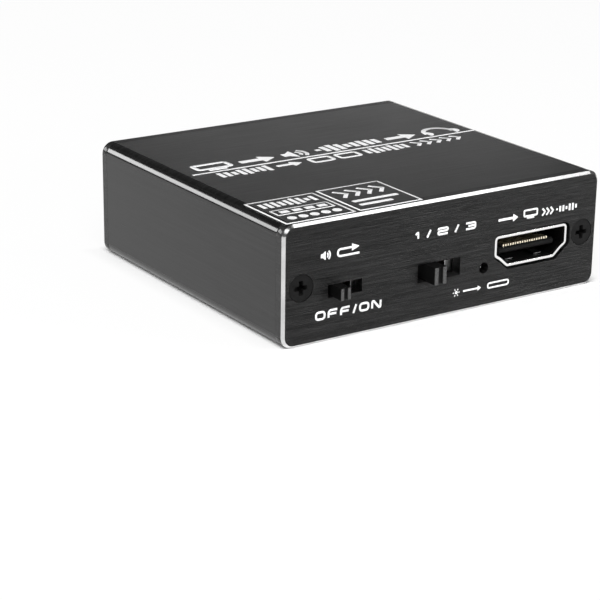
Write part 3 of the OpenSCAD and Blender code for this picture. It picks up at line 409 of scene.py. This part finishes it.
def on_round_edges(x, y, z):
    """1 on the four rounded long edges."""
    beyond_side = abs(x) - (CASE_W / 2 - EDGE_R)
    beyond_top = abs(z - CASE_H / 2) - (CASE_H / 2 - EDGE_R)
    return beyond_side.least(beyond_top).ease(0.0, ROUND_EDGE_FADE)


sleeve_black, _, _ = brushed_black(
    "sleeve_black",
    belts=((9.0, 0.12, 9.0), (0.12, 9.0, 0.12)),
    side_mask=along_the_sides,
    smooth_mask=on_round_edges,
    deep=0.022,
    gloss=0.5,
)
dress(worn_copy("housing_sleeve", width=0.03), sleeve_black)


# End panels
# Each end is a 2 mm aluminium plate, brushed across and anodised black. The chamfer round its face
# is cut after the anodising, so it is bare metal and catches the light.
PANEL_CHAMFER = 0.45
CUT_START = 0.004
CUT_SPILL = 0.02
CUT_TONES = (0.62, 0.8)
CUT_ROUGHNESS = 0.08
PANEL_BELT = (10.0, 10.0, 0.12)
PANEL_SIDE_TONE = 0.028


def behind_face(y):
    """The distance behind the face of the nearer panel."""
    return CASE_D / 2 - abs(y)


def on_chamfer(x, y, z):
    """1 on the cut round a panel's face, by the distance from the panel's outline."""
    out_x = (abs(x) - (CASE_W / 2 - EDGE_R)).most(0.0)
    out_z = (abs(z - CASE_H / 2) - (CASE_H / 2 - EDGE_R)).most(0.0)
    from_edge = EDGE_R - (out_x * out_x + out_z * out_z).math("SQRT")
    depth, reach = behind_face(y), PANEL_CHAMFER + CUT_SPILL
    return (from_edge < reach) * (depth > CUT_START) * (depth < reach)


def on_smooth_rim(x, y, z):
    """1 on a panel's chamfer and on its rounded corners behind it."""
    return on_chamfer(x, y, z).most(on_round_edges(x, y, z) * (behind_face(y) > PANEL_CHAMFER))


def panel_finish(name):
    """Brushed black with its cut laid over it, as bare metal with faint cutter marks."""
    made, shader, place = brushed_black(
        name,
        belts=(PANEL_BELT, PANEL_BELT),
        side_mask=along_the_sides,
        smooth_mask=on_smooth_rim,
        deep=0.14,
        gloss=0.2,
    )
    x, y, z = place.axes()
    cut = on_chamfer(x, y, z)
    face = Wire(shader.inputs["Base Color"].links[0].from_socket)
    rough = Wire(shader.inputs["Roughness"].links[0].from_socket)
    rim = along_the_sides(x, y, z) * (behind_face(y) > PANEL_CHAMFER)
    marks = grain(place, (2.5, 2.5, 2.5), detail=3.0).ease(0.2, 0.9)
    bare = marks.tint(*(grey(tone) for tone in CUT_TONES))
    cut.tint(rim.tint(face, grey(PANEL_SIDE_TONE)), bare).feed(shader.inputs["Base Color"])
    (rough + cut * CUT_ROUGHNESS).feed(shader.inputs["Roughness"])
    cut.feed(shader.inputs["Metallic"])
    return made


for end in ("input", "output"):
    dress(worn_copy(end + "_panel", width=0.03), panel_finish(end + "_panel_black"))


# Panel screws
# Four countersunk steel screws with a cross recess, blackened with oxide, two at each end. They
# hold the panel against the sleeve, and run into open channels of the extrusion.
def blackened_steel():
    made, shader, place = start_finish("screw_black", {"IOR": 1.45, "Specular IOR Level": 0.15})
    speck = grain(place, (0.12, 0.12, 0.12), detail=4.0, roughness=0.7)
    patch = grain(place, (0.8, 0.8, 0.8))
    tone = speck * 0.6 + patch * 0.4
    tone.ease(0.35, 0.8).tint(grey(0.002), grey(0.01)).feed(shader.inputs["Base Color"])
    (0.4 + speck * 0.25).feed(shader.inputs["Roughness"])
    relief(shader, speck, 0.012, strength=0.6)
    return made


screw_black = blackened_steel()
for end in ("input", "output"):
    dress(worn_copy(end + "_panel_screws", width=0.05), screw_black)


# Circuit board
# Glass-epoxy laminate under green solder mask, with fine tracks showing through the mask. It
# slides into the sleeve's rails and carries the sockets, the switches and the chips.
BOARD_GREENS = ((0.006, 0.075, 0.035, 1.0), (0.018, 0.16, 0.07, 1.0))


def solder_mask():
    made, shader, place = start_finish("board_green", {"IOR": 1.52, "Coat Weight": 0.4})
    weave = grain(place, (0.5, 0.5, 0.5))
    slanted = place.node(
        "ShaderNodeMapping", {0: place, "Rotation": (0.0, 0.0, math.radians(45.0))}
    )
    tracks = place.node(
        "ShaderNodeTexBrick",
        {
            "Vector": slanted,
            "Color1": grey(1.0),
            "Color2": grey(1.0),
            "Mortar": grey(0.0),
            "Scale": 0.45,
            "Mortar Size": 0.045,
            "Brick Width": 1.3,
            "Row Height": 0.5,
        },
        1,
    )
    tone = weave * 0.5 + tracks * 0.5
    tone.tint(*BOARD_GREENS).feed(shader.inputs["Base Color"])
    (0.3 + weave * 0.15).feed(shader.inputs["Roughness"])
    relief(shader, tracks, 0.03, strength=0.6)
    return made


dress(frame["nodes"]["circuit_board"], solder_mask())


# Video sockets
# A folded steel shell with a bright nickel plating, a black moulded block with a tongue, and gold
# contacts on top of the tongue.
def plated(name, low, high, rough, warmth=(1.0, 1.0), speck_size=0.25):
    """Plated or drawn metal, with a faint grain and duller patches. The warmth is the share of
    green and of blue beside the red."""
    made, shader, place = start_finish(name, {"Metallic": 1.0})
    speck = grain(place, (speck_size,) * 3, detail=4.0, roughness=0.6)
    patch = grain(place, (3.0, 3.0, 3.0))
    green, blue = warmth
    tone = (speck * 0.6 + patch * 0.4).ease(0.25, 0.75)
    tone.tint((low, low * green, low * blue, 1.0), (high, high * green, high * blue, 1.0)).feed(
        shader.inputs["Base Color"]
    )
    (rough + patch * 0.1 + speck * 0.05).feed(shader.inputs["Roughness"])
    relief(shader, speck, 0.01, strength=0.25)
    return made


def moulded(name, low, high, rough, hue=(1.0, 1.0, 1.0), texture=0.15, depth=0.012, gloss=0.45):
    """Injection-moulded plastic with a spark-eroded texture and faint flow marks."""
    made, shader, place = start_finish(name, {"IOR": 1.48, "Specular IOR Level": gloss})
    pits = grain(place, (texture,) * 3, detail=3.0, roughness=0.6)
    flow = grain(place, (2.5, 1.2, 2.5))
    tone = (pits * 0.5 + flow * 0.5).ease(0.3, 0.7)
    tone.tint(
        tuple(low * share for share in hue) + (1.0,), tuple(high * share for share in hue) + (1.0,)
    ).feed(shader.inputs["Base Color"])
    (rough + pits * 0.12 + flow * 0.06).feed(shader.inputs["Roughness"])
    relief(shader, pits, depth, strength=0.5)
    return made


def painted_shade_inside(made, front):
    """Bright plating at a socket's mouth; deeper in, painted shade darkens it, and it grows
    rougher.
    """
    shader = made.node_tree.nodes["Principled BSDF"]
    place = Wire(made.node_tree.nodes.new("ShaderNodeTexCoord").outputs["Object"])
    unshaded_to, full_shade_from = ((front - depth) * MM for depth in MOUTH_DEPTHS)
    inside = abs(place.axes()[1]).ease(unshaded_to, full_shade_from)
    bright = Wire(shader.inputs["Base Color"].links[0].from_socket)
    rough = Wire(shader.inputs["Roughness"].links[0].from_socket)
    # Painted shade: the plating's colour goes to dark grey deeper in the socket.
    inside.tint(bright, grey(PAINTED_SHADE_TONE)).feed(shader.inputs["Base Color"])
    (rough + inside * DULL_ROUGHNESS).feed(shader.inputs["Roughness"])
    return made


MOUTH_Y = 28.35
MOUTH_DEPTHS = (0.25, 0.7)
PAINTED_SHADE_TONE = 0.16
DULL_ROUGHNESS = 0.2

shell_nickel = painted_shade_inside(
    plated("shell_nickel", low=0.85, high=0.96, rough=0.12, warmth=(0.995, 0.985)), MOUTH_Y
)
block_black = moulded("block_black", low=0.003, high=0.008, rough=0.5, gloss=0.12)
contact_gold = plated(
    "contact_gold", low=0.88, high=0.97, rough=0.3, warmth=(0.9, 0.7), speck_size=0.1
)
for socket in ("video_in", "video_out"):
    dress(worn_copy(socket + "_shell", width=0.08), shell_nickel)
    dress(worn_copy(socket + "_insulator", width=0.05), block_black)
    dress(frame["nodes"][socket + "_contacts"], contact_gold)


# Power socket
# A small folded shell with flared lips, stood back behind the panel, with five gold contacts under
# its tongue.
dress(worn_copy("power_socket_shell", width=0.05), shell_nickel)
dress(worn_copy("power_socket_insulator", width=0.04), block_black)
dress(frame["nodes"]["power_socket_contacts"], contact_gold)


# Headphone jack
# A black moulding whose round nose fills the panel's hole, with tinned springs beside the bore.
# The springs' pins go through the board.
jack_black = moulded("jack_black", low=0.009, high=0.024, rough=0.4)
pin_tin = plated("pin_tin", low=0.55, high=0.75, rough=0.3, warmth=(0.99, 0.97))
dress(worn_copy("headphone_jack_body", width=0.05), jack_black)
dress(frame["nodes"]["headphone_jack_springs"], pin_tin)


# Optical jack
# A square black moulding with a sprung shutter in its mouth, and the light source behind it. The
# shutter turns on a steel pin, and a plug swings it in.
shutter_black = moulded(
    "shutter_black", low=0.012, high=0.022, rough=0.3, hue=(0.9, 0.9, 1.15), texture=0.3,
    depth=0.006,
)
source_dark = moulded(
    "source_dark", low=0.01, high=0.03, rough=0.15, hue=(1.5, 0.6, 0.6), texture=0.4, depth=0.004
)
dress(worn_copy("optical_jack_body", width=0.06), jack_black)
dress(worn_copy("optical_shutter", width=0.05), shutter_black)
for node in ("optical_shutter_pin", "optical_shutter_spring"):
    dress(frame["nodes"][node], pin_tin)
dress(frame["nodes"]["optical_light_source"], source_dark)
dress(frame["nodes"]["optical_source_pins"], pin_tin)


# Slide switches
# Black moulded knobs in tinned steel covers. Each knob rides on a slider inside the cover, over a
# brown laminate base with riveted terminals. The fronts of the knobs' ridges are painted pale, a
# painted highlight where their edges catch the light.
KNOB_FRONT = 31.25
RIDGE_HIGHLIGHT_DEPTHS = (0.16, 0.03)
KNOB_TONES = (0.004, 0.09)


def highlighted_knob_plastic():
    made, shader, place = start_finish("knob_black", {"IOR": 1.48, "Specular IOR Level": 0.12})
    pits = grain(place, (0.1, 0.1, 0.1), detail=3.0, roughness=0.6)
    behind_front = place.axes()[1] + KNOB_FRONT
    # Painted highlight: the front 0.16 mm of the knob is painted pale where the pits allow.
    ridge_highlight = behind_front.ease(*RIDGE_HIGHLIGHT_DEPTHS) * pits.ease(0.3, 0.55)
    ridge_highlight.tint(*(grey(tone) for tone in KNOB_TONES)).feed(shader.inputs["Base Color"])
    (0.42 + pits * 0.12).feed(shader.inputs["Roughness"])
    relief(shader, pits, 0.01, strength=0.5)
    return made


knob_black = highlighted_knob_plastic()
switch_steel = plated(
    "switch_steel", low=0.88, high=0.97, rough=0.26, warmth=(1.0, 0.99), speck_size=0.4
)
laminate = moulded(
    "laminate_brown", low=0.06, high=0.12, rough=0.55, hue=(1.0, 0.5, 0.28), texture=0.3,
    depth=0.02,
)
bronze = plated("wiper_bronze", low=0.5, high=0.65, rough=0.3, warmth=(0.72, 0.45))
for switch in ("return_switch", "mode_switch"):
    dress(worn_copy(switch + "_knob", width=0.06), knob_black)
    dress(worn_copy(switch + "_cover", width=0.05), switch_steel)
    dress(frame["nodes"][switch + "_base"], laminate)
    dress(frame["nodes"][switch + "_wiper"], bronze)
    dress(frame["nodes"][switch + "_terminals"], pin_tin)


# Input lamp
# A small round lamp of clear epoxy, set back in its hole. It is off, so it looks dark. Its two
# leads bend down to the board.
EPOXY_TONES = ((0.06, 0.065, 0.07, 1.0), (0.14, 0.145, 0.155, 1.0))


def clear_epoxy():
    made, shader, place = start_finish(
        "lamp_clear", {"IOR": 1.5, "Transmission Weight": 0.85, "Specular IOR Level": 0.3}
    )
    haze = grain(place, (0.4, 0.4, 0.4), detail=3.0)
    haze.tint(*EPOXY_TONES).feed(shader.inputs["Base Color"])
    (0.08 + haze * 0.12).feed(shader.inputs["Roughness"])
    return made


dress(frame["nodes"]["input_lamp"], clear_epoxy())
dress(frame["nodes"]["input_lamp_leads"], pin_tin)


# Chips and small parts
# Moulded chips with bent leads, an inductor, a crystal can, a regulator, aluminium capacitor cans
# on black bases, and ceramic parts with tinned ends, all soldered on top of the board.
chip_black = moulded("chip_black", low=0.016, high=0.03, rough=0.5, texture=0.12, depth=0.01)
crystal_nickel = plated("crystal_nickel", low=0.55, high=0.7, rough=0.2, warmth=(0.97, 0.9))
ferrite_grey = moulded("ferrite_grey", low=0.03, high=0.06, rough=0.6)
can_aluminium = plated(
    "can_aluminium", low=0.72, high=0.82, rough=0.22, warmth=(1.0, 1.0), speck_size=0.5
)
ceramic_tan = moulded(
    "ceramic_tan", low=0.2, high=0.32, rough=0.45, hue=(1.0, 0.66, 0.38), texture=0.2, depth=0.01
)
resistor_black = moulded("resistor_black", low=0.02, high=0.04, rough=0.3)
for node, finish, slot in (
    ("processor_chip", chip_black, "chip_black"),
    ("control_chip", chip_black, "chip_black"),
    ("memory_chip", chip_black, "chip_black"),
    ("audio_converter_chip", chip_black, "chip_black"),
    ("voltage_regulator", chip_black, "chip_black"),
    ("capacitor_bases", chip_black, "chip_black"),
    ("chip_leads", pin_tin, "pin_tin"),
    ("clock_crystal", crystal_nickel, "crystal_nickel"),
    ("power_inductor", ferrite_grey, "ferrite_grey"),
    ("capacitor_cans", can_aluminium, "can_aluminium"),
    ("ceramic_capacitors", ceramic_tan, "ceramic_tan"),
    ("chip_resistors", resistor_black, "resistor_black"),
):
    dress(frame["nodes"][node], finish)


# Printed signs
# White ink, screen-printed on the anodised metal: plain pictures of what the sockets and switches
# do, and numbers for the mode switch's three positions. Each sign is drawn flat, and a geometry
# tree gives the drawing its width and its thickness of ink.
INK_RISE = 0.02
INK_SINK = 0.012
INK_THICK = INK_RISE + INK_SINK
INK_STEP = 0.002
INK_LAYERS = 4
INK_TONES = ((0.8, 0.8, 0.81, 1.0), (0.95, 0.95, 0.95, 1.0))
LINE_CORNER_POINTS = 5
PATCH_CORNER_POINTS = 4
SAME_INK_POINT = 0.001
WAVE_BASE, WAVE_SLOW, WAVE_QUICK = 0.22, 0.48, 0.3
SLOW_TURNS, QUICK_TURNS = 7.3, 23.0


def screen_ink():
    made, shader, place = start_finish("ink_white", {"IOR": 1.45})
    pores = grain(place, (0.12, 0.12, 0.12), detail=3.0, roughness=0.7)
    patch = grain(place, (2.0, 2.0, 2.0))
    tone = (pores * 0.6 + patch * 0.4).ease(0.2, 0.7)
    tone.tint(*INK_TONES).feed(shader.inputs["Base Color"])
    (0.45 + pores * 0.2).feed(shader.inputs["Roughness"])
    relief(shader, pores, 0.01, strength=0.4)
    return made


ink_white = screen_ink()


def start_tree(name, *sizes):
    """A geometry tree with its input wires: the drawing, its sizes and its ink."""
    tree = bpy.data.node_groups.new(name, "GeometryNodeTree")
    tree.interface.new_socket("Drawing", in_out="INPUT", socket_type="NodeSocketGeometry")
    for size in sizes:
        kind = "NodeSocketInt" if size == "Bars" else "NodeSocketFloat"
        tree.interface.new_socket(size, in_out="INPUT", socket_type=kind)
    tree.interface.new_socket("Ink", in_out="INPUT", socket_type="NodeSocketMaterial")
    tree.interface.new_socket("Print", in_out="OUTPUT", socket_type="NodeSocketGeometry")
    given = tree.nodes.new("NodeGroupInput")
    return tree, [Wire(output) for output in given.outputs][: len(sizes) + 2]


def close_tree(tree, solid, ink):
    """Ends a tree with real geometry in ink."""
    real = solid.node("GeometryNodeRealizeInstances", {0: solid})
    inked = real.node("GeometryNodeSetMaterial", {"Geometry": real, "Material": ink})
    inked.feed(tree.nodes.new("NodeGroupOutput").inputs[0])
    return tree


def line_tree():
    """Lines of even width along drawn paths, with rounded corners."""
    tree, (drawing, width, corner, thick, ink) = start_tree(
        "printed_lines", "Line width", "Corner radius", "Ink thickness"
    )
    path = drawing.node("GeometryNodeMeshToCurve", {0: drawing})
    path = path.node(
        "GeometryNodeFilletCurve",
        {"Curve": path, "Count": LINE_CORNER_POINTS, "Radius": corner, "Limit Radius": True},
        mode="POLY",
    )
    path = path.node("GeometryNodeSetCurveNormal", {"Curve": path}, mode="Z_UP")
    section = path.node(
        "GeometryNodeCurvePrimitiveQuadrilateral", {"Width": width, "Height": thick}
    )
    solid = path.node(
        "GeometryNodeCurveToMesh", {"Curve": path, "Profile Curve": section, "Fill Caps": True}
    )
    return close_tree(tree, solid, ink)


def patch_tree():
    """Filled shapes inside drawn outlines, with rounded corners."""
    tree, (drawing, corner, thick, ink) = start_tree(
        "printed_patches", "Corner radius", "Ink thickness"
    )
    outline = drawing.node("GeometryNodeMeshToCurve", {0: drawing})
    outline = outline.node(
        "GeometryNodeFilletCurve",
        {"Curve": outline, "Count": PATCH_CORNER_POINTS, "Radius": corner, "Limit Radius": True},
        mode="POLY",
    )
    bottom = outline.node("GeometryNodeFillCurve", {"Curve": outline}, mode="NGONS")
    bottom = bottom.node(
        "GeometryNodeTransform",
        {
            "Geometry": bottom,
            "Translation": thick.node("ShaderNodeCombineXYZ", {"Z": thick * -0.5}),
        },
    )
    top = bottom.node(
        "GeometryNodeExtrudeMesh",
        {"Mesh": bottom, "Offset Scale": thick, "Individual": False},
    )
    under = bottom.node("GeometryNodeFlipFaces", {"Mesh": bottom})
    both = top.node("GeometryNodeJoinGeometry")
    for part in (top, under):
        part.feed(both.socket.node.inputs[0])
    solid = both.node(
        "GeometryNodeMergeByDistance", {"Geometry": both, "Distance": SAME_INK_POINT}
    )
    return close_tree(tree, solid, ink)


def wave_tree():
    """A row of upright bars along a drawn line, whose heights rise and fall as in a sound wave."""
    tree, (drawing, bars, wide, tall, phase, thick, ink) = start_tree(
        "printed_wave", "Bars", "Bar width", "Tallest", "Phase", "Ink thickness"
    )
    line = drawing.node("GeometryNodeMeshToCurve", {0: drawing})
    line = line.node("GeometryNodeResampleCurve", {"Curve": line, "Count": bars})
    size = wide.node("ShaderNodeCombineXYZ", {"X": wide, "Y": tall, "Z": thick})
    bar = size.node("GeometryNodeMeshCube", {"Size": size})
    along = line.node("GeometryNodeInputIndex").math("DIVIDE", bars)
    slow = abs((along * SLOW_TURNS + phase).math("SINE"))
    quick = abs((along * QUICK_TURNS + phase * 2.0).math("SINE"))
    share = WAVE_BASE + slow * WAVE_SLOW + quick * WAVE_QUICK
    solid = line.node(
        "GeometryNodeInstanceOnPoints",
        {
            "Points": line,
            "Instance": bar,
            "Scale": share.node("ShaderNodeCombineXYZ", {"X": 1.0, "Y": share, "Z": 1.0}),
        },
    )
    return close_tree(tree, solid, ink)


LINES, PATCHES, WAVE = line_tree(), patch_tree(), wave_tree()


def inked(tree, paths, **sizes):
    """The mesh that a tree makes of drawn paths. A path that ends where it starts is closed.
    Paths that cross lie a step of ink apart."""
    points, joints = [], []
    for k, path in enumerate(paths):
        lift = INK_STEP * (1 + k % INK_LAYERS)
        closed = Vector(path[0]) == Vector(path[-1])
        path = path[:-1] if closed else path
        first = len(points)
        points += [(x, y, lift) for x, y in path]
        joints += [(first + i, first + i + 1) for i in range(len(path) - 1)]
        if closed:
            joints.append((len(points) - 1, first))
    drawing = bpy.data.meshes.new(tree.name)
    drawing.from_pydata(points, joints, [])
    carrier = bpy.data.objects.new(tree.name, drawing)
    bpy.context.scene.collection.objects.link(carrier)
    grown = carrier.modifiers.new(tree.name, "NODES")
    grown.node_group = tree
    sizes = {"Ink thickness": INK_THICK, "Ink": ink_white} | {
        key.replace("_", " ").capitalize(): value for key, value in sizes.items()
    }
    for item in tree.interface.items_tree:
        if item.in_out == "INPUT" and item.name in sizes:
            grown[item.identifier] = sizes[item.name]
    bpy.context.view_layer.update()
    graph = bpy.context.evaluated_depsgraph_get()
    mesh = bpy.data.meshes.new_from_object(carrier.evaluated_get(graph))
    bpy.data.objects.remove(carrier)
    return mesh


def lines(width, corner, *paths):
    """Paths as lines of this width, with corners of this radius."""
    return inked(LINES, paths, line_width=width, corner_radius=corner)


def patches(corner, *outlines):
    """Filled outlines, with corners of this radius."""
    return inked(PATCHES, [outline + [outline[0]] for outline in outlines], corner_radius=corner)


def wave(x, y, w, h, bars, wide, phase=0.0):
    """A sound wave inside a box: so many bars, each so wide."""
    middle = y + h / 2
    line = [(x + wide / 2, middle), (x + w - wide / 2, middle)]
    return inked(WAVE, [line], bars=bars, bar_width=wide, tallest=h, phase=phase)


def box(x, y, w, h):
    """The corners of a box, from its lower left corner."""
    return [(x, y), (x + w, y), (x + w, y + h), (x, y + h)]


def loop(x, y, w, h):
    """The closed path round a box."""
    return box(x, y, w, h) + [(x, y)]


def bow(x, y, r, start, end, count=14):
    """Points along an arc, from one angle to another."""
    turns = [math.radians(start + (end - start) * k / count) for k in range(count + 1)]
    return [(x + r * math.cos(a), y + r * math.sin(a)) for a in turns]


ARROW_HEAD_SHARE = 0.75
STAND_HEIGHT_SHARE = 0.24
STAND_SHARES = (0.22, 0.78)
HORN_SHARES = ((0.0, 0.3), (0.24, 0.3), (0.58, 0.0), (0.58, 1.0), (0.24, 0.7), (0.0, 0.7))
HORN_WAVE_PLACE_SHARE = 0.55
HORN_WAVE_SHARES = (0.32, 0.58)
HORN_WAVE_ANGLE = 48
BAND_SHARE = 0.4
CUP_SHARE = 0.3


def arrow(x, y, w, h, thick):
    """An arrow that points right."""
    neck, middle = x + w - h * ARROW_HEAD_SHARE, y + h / 2
    return [
        (x, middle - thick / 2), (neck, middle - thick / 2), (neck, y), (x + w, middle),
        (neck, y + h), (neck, middle + thick / 2), (x, middle + thick / 2),
    ]


def chevrons(x, y, w, h, pitch, count):
    """A row of open arrow heads that point right."""
    return [
        [(x + pitch * k, y), (x + pitch * k + w, y + h / 2), (x + pitch * k, y + h)]
        for k in range(count)
    ]


def set_screen(x, y, w, h):
    """A television set on its foot, as lines."""
    foot, middle = y + h * STAND_HEIGHT_SHARE, x + w / 2
    return [
        loop(x, foot, w, y + h - foot),
        [(x + w * share, y) for share in STAND_SHARES],
        [(middle, y), (middle, foot)],
    ]


def horn(x, y, h):
    """A loudspeaker's horn, as an outline."""
    return [(x + h * right, y + h * up) for right, up in HORN_SHARES]


def horn_waves(x, y, h):
    """The two sound waves in front of a horn."""
    return [
        bow(x + h * HORN_WAVE_PLACE_SHARE, y + h / 2, h * share, -HORN_WAVE_ANGLE, HORN_WAVE_ANGLE)
        for share in HORN_WAVE_SHARES
    ]


def headphones(x, y, w, h):
    """Headphones: the line of the band, and the outlines of two cups."""
    middle, r, cup = x + w / 2, w * BAND_SHARE, h * CUP_SHARE
    band = [(middle - r, y + cup)] + bow(middle, y + h - r, r, 180, 0, 20)
    band.append((middle + r, y + cup))
    cups = [bow(middle + side * r, y + cup, cup, -90 * side, 90 * side) for side in (-1, 1)]
    return band, cups


SIGNS = {
    "O": [[(0, 0), (1, 0), (1, 1), (0, 1), (0, 0)]],
    "F": [[(0, 0), (0, 1), (1, 1)], [(0, 0.48), (0.9, 0.48)]],
    "N": [[(0, 0), (0, 1), (0.18, 1), (0.82, 0), (1, 0), (1, 1)]],
    "/": [[(0.0, -0.1), (1.0, 1.1)]],
    "1": [[(0.0, 0.7), (0.5, 1), (0.65, 1), (0.65, 0)]],
    "2": [[(0, 0.78), (0, 1), (1, 1), (1, 0.52), (0, 0.52), (0, 0), (1, 0)]],
    "3": [[(0, 1), (1, 1), (1, 0), (0, 0)], [(0.25, 0.5), (1, 0.5)]],
}
NARROW_SHARES = {"/": 0.45, "1": 0.5}


def sign_row(marks, x, y, h, wide, gap, thick):
    """The words of a switch or its numbers, as paths inside a row of boxes of this width."""
    paths = []
    for mark in marks:
        w = wide * NARROW_SHARES.get(mark, 1.0)
        for path in SIGNS[mark]:
            paths.append([
                (x + thick / 2 + px * (w - thick), y + thick / 2 + py * (h - thick))
                for px, py in path
            ])
        x += w + gap
    return paths


def printed(name, placing, meshes):
    """One piece from the inked meshes. The placing turns the flat drawing on to its metal."""
    shape = bmesh.new()
    for mesh in meshes:
        shape.from_mesh(mesh)
    bmesh.ops.triangulate(shape, faces=[face for face in shape.faces if len(face.verts) > 4])
    shape.transform(placing)
    mesh = bpy.data.meshes.new(name)
    shape.to_mesh(mesh)
    shape.free()
    piece = bpy.data.objects.new(name, mesh)
    bpy.context.scene.collection.objects.link(piece)
    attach(piece, "case")
    return dress(piece, ink_white)


def face_on(corner, right, up):
    """The placing of a drawing whose zero is at corner, with its ink on the outside."""
    right, up = Vector(right), Vector(up)
    out = right.cross(up)
    turn = Matrix((right, up, out)).transposed().to_4x4()
    ink_middle = Vector(corner) + out * (INK_RISE - INK_SINK) / 2
    return Matrix.Scale(MM, 4) @ Matrix.Translation(ink_middle) @ turn


# A sign's first numbers are its left and its bottom, from the lower left corner of the printed
# face, and then its width and its height.
LAMP_X, LAMP_Y, LAMP_R = 33.0, 3.5, 0.28
RAY_ENDS = (0.42, 0.68)
RAYS = 6

lamp_rays = [
    [(LAMP_X + r * math.cos(turn), LAMP_Y + r * math.sin(turn)) for r in RAY_ENDS]
    for turn in (math.tau * k / RAYS for k in range(RAYS))
]
printed("input_panel_print", face_on((-CASE_W / 2, -CASE_D / 2, 0.0), (1, 0, 0), (0, 0, 1)), [
    lines(0.36, 0.45, *sign_row("OFF/ON", 5.9, 3.7, 1.5, 1.95, 0.36, 0.36)),
    patches(0.05, horn(6.8, 13.25, 1.5)),
    lines(0.26, 0.05, *horn_waves(6.8, 13.25, 1.5)),
    lines(0.34, 0.5, [(13.9, 13.45), (9.9, 13.45), (9.9, 14.55), (12.6, 14.55)]),
    patches(0.05, [(13.9, 14.55), (12.5, 15.15), (12.5, 13.95)]),
    lines(0.34, 0.3, *sign_row("1/2/3", 24.4, 13.65, 1.3, 2.2, 1.15, 0.34)),
    lines(0.16, 0.02, *lamp_rays),
    patches(0.02, bow(LAMP_X, LAMP_Y, LAMP_R, 0, 330, 11), arrow(34.4, 3.05, 3.6, 0.9, 0.28)),
    lines(0.28, 0.3, loop(39.4, 3.1, 4.2, 0.8)),
    patches(0.05, arrow(41.0, 13.6, 4.0, 1.3, 0.4)),
    lines(0.3, 0.15, *set_screen(46.3, 13.75, 2.7, 1.3)),
    lines(0.32, 0.02, *chevrons(50.1, 13.65, 0.55, 1.2, 0.85, 3)),
    wave(53.0, 13.55, 4.4, 1.4, 7, 0.36),
])

band, cups = headphones(16.6, 12.7, 5.8, 3.8)
printed("output_panel_print", face_on((CASE_W / 2, CASE_D / 2, 0.0), (-1, 0, 0), (0, 0, 1)), [
    lines(0.3, 0.05, band),
    patches(0.1, *cups),
    lines(0.3, 0.02, [(5.7, 13.6), (9.2, 13.6)]),
    patches(0.05, *(box(5.7 + 1.26 * k, 12.75, 0.98, 0.34) for k in range(3))),
    patches(0.05, arrow(10.4, 12.65, 3.8, 1.2, 0.36)),
    patches(0.02, bow(27.2, 4.55, 0.34, 0, 330, 11), arrow(29.9, 4.1, 3.2, 0.9, 0.3)),
    lines(0.18, 0.02, *(bow(27.2, 4.55, 0.64 + 0.36 * k, -42, 42) for k in range(3))),
    lines(0.28, 0.02, [(33.6, 4.55), (35.9, 4.55)]),
    lines(0.3, 0.15, *set_screen(38.2, 13.7, 2.8, 1.3)),
    lines(0.32, 0.02, *chevrons(42.2, 13.65, 0.55, 1.2, 0.85, 4)),
    patches(0.05, arrow(46.3, 13.6, 4.6, 1.3, 0.4)),
    wave(52.0, 13.5, 7.4, 1.4, 11, 0.36, 0.8),
])

band, cups = headphones(50.6, 31.9, 7.0, 4.2)
printed("top_print", face_on((-CASE_W / 2, -CASE_D / 2, CASE_H), (1, 0, 0), (0, 1, 0)), [
    lines(0.5, 0.02, [(2.8, 31.3), (60.2, 31.3)]),
    lines(0.85, 0.4, *set_screen(5.2, 32.5, 6.2, 3.3)),
    patches(0.1, arrow(13.4, 32.2, 6.8, 3.6, 1.3), horn(21.8, 32.0, 4.0)),
    lines(0.7, 0.05, *horn_waves(21.8, 32.0, 4.0)),
    wave(28.4, 32.0, 13.0, 4.0, 9, 1.0),
    patches(0.1, arrow(43.0, 32.2, 6.4, 3.6, 1.3)),
    lines(0.85, 0.05, band),
    patches(0.1, *cups),
    wave(6.4, 27.3, 9.6, 3.2, 8, 0.8, 1.4),
    patches(0.2, arrow(17.4, 27.5, 5.0, 2.8, 0.9)),
    lines(0.7, 0.5, loop(24.2, 27.7, 4.0, 2.4), loop(29.6, 27.7, 4.0, 2.4)),
    wave(35.2, 27.3, 8.6, 3.2, 7, 0.8, 0.5),
    lines(0.7, 0.1, *chevrons(45.4, 27.6, 1.3, 2.6, 2.1, 5)),
    lines(0.36, 0.02, loop(1.3, 1.1, 12.4, 11.8), loop(14.8, 1.2, 11.6, 12.1)),
    wave(2.6, 8.8, 10.0, 3.4, 9, 0.7, 0.4),
    lines(0.3, 0.1, loop(2.6, 5.3, 10.2, 2.5)),
    patches(0.1, *(box(3.6 + 2.3 * k, 6.0, 1.6, 1.1) for k in range(4))),
    patches(0.02, *(bow(3.7 + 2.05 * k, 3.3, 0.78, 0, 337.5, 15) for k in range(5))),
    lines(0.7, 0.1, *chevrons(16.6, 8.0, 1.5, 3.6, 2.3, 4)),
    patches(0.2, box(16.4, 5.2, 8.6, 0.9), box(16.4, 3.2, 6.2, 0.9)),
])
